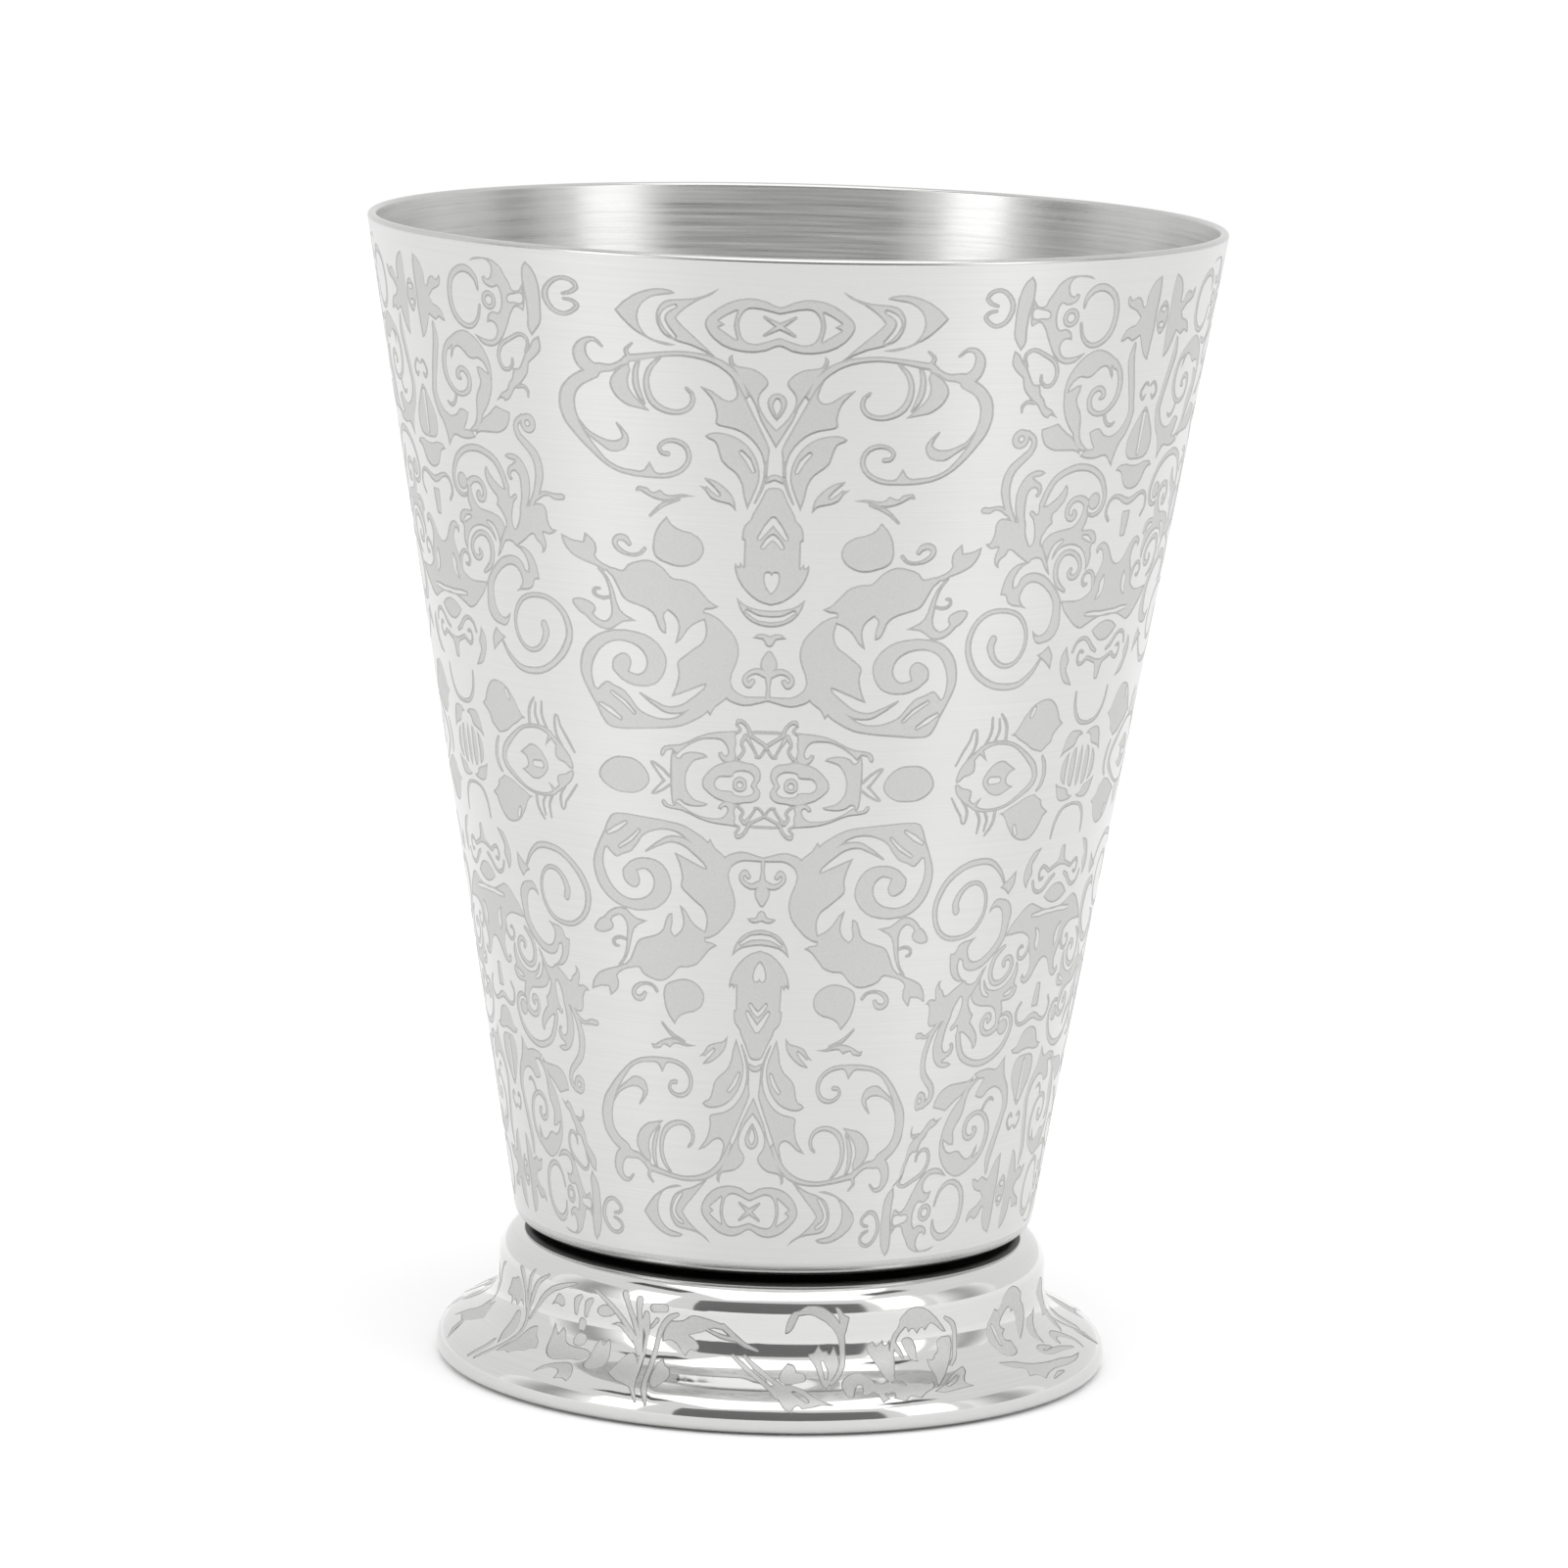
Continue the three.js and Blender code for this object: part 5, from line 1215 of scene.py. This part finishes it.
# Noises: cells per metre, and detail
FINE_ROUND_GRAIN = ((60.0, 60.0, 7000.0), 3.0)
ROUND_GRAIN = ((60.0, 60.0, 7000.0), 2.0)
INSIDE_GRAIN = ((45.0, 45.0, 2600.0), 4.0)
DRAWN_GRAIN = ((45.0, 45.0, 2600.0), 3.0)
FROST = ((6000.0, 6000.0, 6000.0), 2.0)
BRAZE_FROST = ((900.0, 900.0, 900.0), 4.0)
CLOUDS = ((35.0, 35.0, 25.0), 2.0)
FULL_CLOUDS = ((35.0, 35.0, 25.0), 3.0)
BRAZE_CLOUDS = ((160.0, 160.0, 160.0), 2.0)


class Finish:
    """A metal whose colour, roughness and bump come from noise drawn out along its grain."""

    def __init__(self, name):
        self.material = bpy.data.materials.new(name)
        self.material.use_nodes = True
        self.nodes = self.material.node_tree.nodes
        self.links = self.material.node_tree.links
        self.shader = self.nodes["Principled BSDF"]
        self.shader.inputs["Metallic"].default_value = 1.0
        self.coordinates = self.nodes.new("ShaderNodeTexCoord")

    def noise(self, stretch, detail):
        """Noise in the object's own space, with cells per metre along X, Y and Z."""
        mapping = self.nodes.new("ShaderNodeMapping")
        mapping.inputs["Scale"].default_value = stretch
        self.links.new(self.coordinates.outputs["Object"], mapping.inputs["Vector"])
        texture = self.nodes.new("ShaderNodeTexNoise")
        texture.inputs["Scale"].default_value = 1.0
        texture.inputs["Detail"].default_value = detail
        self.links.new(mapping.outputs["Vector"], texture.inputs["Vector"])
        return texture.outputs["Fac"]

    def ramp(self, source, low, high, dark, light):
        """A colour ramp between two values of a source."""
        ramp = self.nodes.new("ShaderNodeValToRGB")
        ramp.color_ramp.elements[0].position = low
        ramp.color_ramp.elements[0].color = (*dark, 1.0)
        ramp.color_ramp.elements[1].position = high
        ramp.color_ramp.elements[1].color = (*light, 1.0)
        self.links.new(source, ramp.inputs["Fac"])
        return ramp.outputs["Color"]

    def tinted(self, streaks, clouds):
        """Base colour: fine streaks over slow clouds."""
        mix = self.nodes.new("ShaderNodeMix")
        mix.data_type = "RGBA"
        mix.blend_type = "MULTIPLY"
        mix.inputs["Factor"].default_value = 1.0
        self.links.new(streaks, mix.inputs["A"])
        self.links.new(clouds, mix.inputs["B"])
        self.links.new(mix.outputs["Result"], self.shader.inputs["Base Color"])

    def roughened(self, source, low, high):
        spread = self.nodes.new("ShaderNodeMapRange")
        spread.inputs["From Min"].default_value = NOISE_LOW
        spread.inputs["From Max"].default_value = NOISE_HIGH
        spread.inputs["To Min"].default_value = low
        spread.inputs["To Max"].default_value = high
        self.links.new(source, spread.inputs["Value"])
        self.links.new(spread.outputs["Result"], self.shader.inputs["Roughness"])

    def bumped(self, source, depth, strength):
        bump = self.nodes.new("ShaderNodeBump")
        bump.inputs["Distance"].default_value = depth
        bump.inputs["Strength"].default_value = strength
        self.links.new(source, bump.inputs["Height"])
        self.links.new(bump.outputs["Normal"], self.shader.inputs["Normal"])

    def brushed_round(self, amount):
        """Grain that runs round the axis, so gloss spreads along the axis."""
        tangent = self.nodes.new("ShaderNodeTangent")
        tangent.direction_type = "RADIAL"
        tangent.axis = "Z"
        self.shader.inputs["Anisotropic"].default_value = amount
        self.shader.inputs["Anisotropic Rotation"].default_value = QUARTER_TURN
        self.links.new(tangent.outputs["Tangent"], self.shader.inputs["Tangent"])


def grey(value):
    """A grey that is a touch warm."""
    return (value, value, value * WARMTH)


def metal(name, grain, dark, light, shade, rough, bump=None, brushed=None, clouds=CLOUDS,
          low=NOISE_LOW, high=NOISE_HIGH, clear=grey(1.0)):
    """A metal that goes from dark to light with its grain, and from shade to clear with slow clouds.

    Rough is one value, or a noise and its two ends. Bump is a noise, a depth in metres and a strength.
    """
    finish = Finish(name)
    noises = {"grain": finish.noise(*grain), "clouds": finish.noise(*clouds)}
    finish.tinted(finish.ramp(noises["grain"], low, high, dark, light),
                  finish.ramp(noises["clouds"], NOISE_LOW, NOISE_HIGH, shade, clear))
    if isinstance(rough, float):
        finish.shader.inputs["Roughness"].default_value = rough
    else:
        finish.roughened(noises[rough[0]], *rough[1:])
    if bump:
        finish.bumped(noises[bump[0]], *bump[1:])
    if brushed:
        finish.brushed_round(brushed)
    return finish.material


cup = make_cup([
    metal("satin_wall", FINE_ROUND_GRAIN, grey(0.61), grey(0.66), grey(0.97), ("grain", 0.28, 0.36),
          bump=("grain", 0.00002, 0.25), brushed=0.65, low=0.25, high=0.75),
    # The darker grey of the scrollwork's etched edges is painted shade of the etched walls; their slope
    # shades them too
    metal("scroll_edge_painted_shade", FROST, grey(0.39), grey(0.47), grey(0.94), 0.42, bump=("grain", 0.00003, 0.3)),
    metal("etched_floor", FROST, grey(0.53), grey(0.6), grey(0.96), ("grain", 0.45, 0.56),
          bump=("grain", 0.00003, 0.35)),
    metal("brushed_inside", INSIDE_GRAIN, grey(0.57), grey(0.75), grey(0.94), ("grain", 0.26, 0.4),
          bump=("grain", 0.00004, 0.5), brushed=0.85),
    metal("polished_lip", ROUND_GRAIN, grey(0.52), grey(0.58), grey(0.97), ("grain", 0.22, 0.3)),
    # Painted shade: the cup's flat bottom and the lowest part of the round under it are near black for the
    # dark gap over the foot
    metal("painted_shade_bottom", FROST, grey(0.06), grey(0.1), grey(0.9), ("grain", 0.4, 0.5)),
])
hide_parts("cup_body")
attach(cup, "root")

foot = make_foot([
    metal("mirror_foot", ROUND_GRAIN, grey(0.63), grey(0.655), grey(0.97), ("clouds", 0.05, 0.11),
          bump=("clouds", 0.0002, 0.05), clouds=FULL_CLOUDS),
    # The darker grey of the sprigs' etched edges is painted shade of the etched walls; their slope shades
    # them too
    metal("sprig_edge_painted_shade", FROST, grey(0.3), grey(0.38), grey(0.94), 0.42, bump=("grain", 0.00003, 0.3)),
    metal("frosted_leaf", FROST, grey(0.57), grey(0.65), grey(0.96), 0.6, bump=("grain", 0.00003, 0.35)),
    metal("drawn_inside", DRAWN_GRAIN, grey(0.58), grey(0.72), grey(0.9), ("clouds", 0.28, 0.42),
          bump=("grain", 0.00004, 0.3), clouds=FULL_CLOUDS),
])
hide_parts("foot")
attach(foot, "root")

braze = bpy.data.objects["braze_ring"]
braze_metal = metal("run_braze", BRAZE_FROST, (0.6, 0.49, 0.27), (0.72, 0.62, 0.4), (0.8, 0.78, 0.74),
                    ("clouds", 0.38, 0.55), bump=("grain", 0.0001, 0.4), clouds=BRAZE_CLOUDS,
                    clear=(1.0, 1.0, 1.0))
for holder in braze.material_slots:
    holder.material = braze_metal


# Stage
CLOTH_ROUGHNESS = 0.9
FADED_TO = 0.95
FLOOR_HALF = 1.3
FLOOR_HEIGHT = -0.0002
CARD_HALF_HEIGHT = 0.42
CARD_UPWARD = (0, 0, CARD_HALF_HEIGHT)
GAP_DISTANCE = 0.9
GAP_ELEVATION = 56.0
GAP_HALF_HEIGHT = 0.06


def plain(name, value):
    """A matt cloth of one grey."""
    material = bpy.data.materials.new(name)
    material.use_nodes = True
    shader = material.node_tree.nodes["Principled BSDF"]
    shader.inputs["Base Color"].default_value = (value, value, value, 1.0)
    shader.inputs["Roughness"].default_value = CLOTH_ROUGHNESS
    return material


def faded(name, middle):
    """A cloth that is grey in its middle and fades to white along Y."""
    material = plain(name, middle)
    nodes = material.node_tree.nodes
    links = material.node_tree.links
    coordinates = nodes.new("ShaderNodeTexCoord")
    split = nodes.new("ShaderNodeSeparateXYZ")
    ramp = nodes.new("ShaderNodeValToRGB")
    ramp.color_ramp.interpolation = "EASE"
    for place, value in ((0.0, FADED_TO), (0.5, middle), (1.0, FADED_TO)):
        stop = ramp.color_ramp.elements.new(place)
        stop.color = (value, value, value, 1.0)
    ramp.color_ramp.elements.remove(ramp.color_ramp.elements[0])
    ramp.color_ramp.elements.remove(ramp.color_ramp.elements[-1])
    links.new(coordinates.outputs["Generated"], split.inputs["Vector"])
    links.new(split.outputs["Y"], ramp.inputs["Fac"])
    links.new(ramp.outputs["Color"], nodes["Principled BSDF"].inputs["Base Color"])
    return material


def sheet(name, centre, across, upward, cloth):
    """A flat rectangle about its centre, from two half edges."""
    centre = Vector(centre)
    across = Vector(across)
    upward = Vector(upward)
    corners = [centre - across - upward, centre + across - upward, centre + across + upward,
               centre - across + upward]
    mesh = bpy.data.meshes.new(name)
    mesh.from_pydata(corners, [], [(0, 1, 2, 3)])
    mesh.materials.append(cloth)
    stand = bpy.data.objects.new(name, mesh)
    bpy.context.scene.collection.objects.link(stand)
    return stand


def gloss_card(name, centre, across, upward, cloth):
    """A sheet that only the metal's gloss sees."""
    card = sheet(name, centre, across, upward, cloth)
    card.visible_camera = False
    card.visible_diffuse = False
    card.visible_shadow = False
    card.visible_transmission = False


def gap_strip(name, azimuth, half_width, cloth):
    """A strip high up, like the dark gap beside an overhead soft box, at degrees round from the front."""
    turn = math.radians(azimuth)
    rise = math.radians(GAP_ELEVATION)
    level = GAP_DISTANCE * math.cos(rise)
    reach = level * math.tan(math.radians(half_width))
    centre = around(turn, level, GAP_DISTANCE * math.sin(rise))
    across = (reach * math.cos(turn), reach * math.sin(turn), 0)
    upward = Vector(around(turn, -math.sin(rise), math.cos(rise))) * GAP_HALF_HEIGHT
    gloss_card(name, centre, across, upward, cloth)


sheet("floor", (0, 0, FLOOR_HEIGHT), (FLOOR_HALF, 0, 0), (0, FLOOR_HALF, 0), plain("pale_floor", 0.97))

# Cards behind the camera and at its sides, and strips high at the sides
gloss_card("dark_card", (0.12, -1.1, CARD_HALF_HEIGHT), (0.8, 0, 0), CARD_UPWARD, plain("dark_cloth", 0.16))
gloss_card("left_card", (-1.3, -0.2, CARD_HALF_HEIGHT), (0, 0.5, 0), CARD_UPWARD, faded("left_cloth", 0.4))
gloss_card("right_card", (1.3, 0.0, CARD_HALF_HEIGHT), (0, 0.4, 0), CARD_UPWARD, faded("right_cloth", 0.45))
gap_cloth = plain("gap_cloth", 0.1)
gap_strip("left_gap", -68.0, 20.0, gap_cloth)
gap_strip("right_gap", 70.0, 14.0, gap_cloth)

# Light
MIDDLE = (0.0, 0.0, 0.06)


def softbox(name, place, width, height, power):
    """A soft lamp that is turned to the middle of the object."""
    lamp = bpy.data.lights.new(name, "AREA")
    lamp.shape = "RECTANGLE"
    lamp.size = width
    lamp.size_y = height
    lamp.energy = power
    holder = bpy.data.objects.new(name, lamp)
    bpy.context.scene.collection.objects.link(holder)
    holder.location = place
    aim = Vector(MIDDLE) - Vector(place)
    holder.rotation_euler = aim.to_track_quat("-Z", "Y").to_euler()
    holder.visible_camera = False


softbox("top_box", (0.1, -0.45, 1.4), width=1.5, height=1.3, power=6.5)
softbox("left_box", (-1.15, -0.85, 0.55), width=0.5, height=1.0, power=2.4)
softbox("right_box", (1.15, -0.75, 0.55), width=0.5, height=1.0, power=2.0)

world = bpy.data.worlds.new("studio")
world.use_nodes = True
background = world.node_tree.nodes["Background"]
background.inputs["Color"].default_value = (1.0, 1.0, 1.0, 1.0)
background.inputs["Strength"].default_value = 1.0
bpy.context.scene.world = world

# Camera, in millimetres and degrees, as fitted to the photo
CAMERA_PLACE = (0.0, -740.0, 184.2083)
CAMERA_PITCH = math.radians(9.4985)
CAMERA_ROLL = math.radians(1.4704)
LENS = 166.33
SENSOR = 36.0
CLIP_END = 20.0
forward = Vector((0.0, math.cos(CAMERA_PITCH), -math.sin(CAMERA_PITCH)))
level = Vector((1.0, 0.0, 0.0))
upright = level.cross(forward)
right = level * math.cos(CAMERA_ROLL) + upright * math.sin(CAMERA_ROLL)
above = upright * math.cos(CAMERA_ROLL) - level * math.sin(CAMERA_ROLL)
lens = bpy.data.cameras.new("camera")
lens.lens = LENS
lens.sensor_width = SENSOR
lens.clip_end = CLIP_END
camera = bpy.data.objects.new("camera", lens)
bpy.context.scene.collection.objects.link(camera)
turn = Matrix((right, above, -forward)).transposed()
camera.matrix_world = Matrix.Translation(Vector(CAMERA_PLACE) * MM) @ turn.to_4x4()
bpy.context.scene.camera = camera
bpy.context.scene.view_settings.view_transform = "Standard"
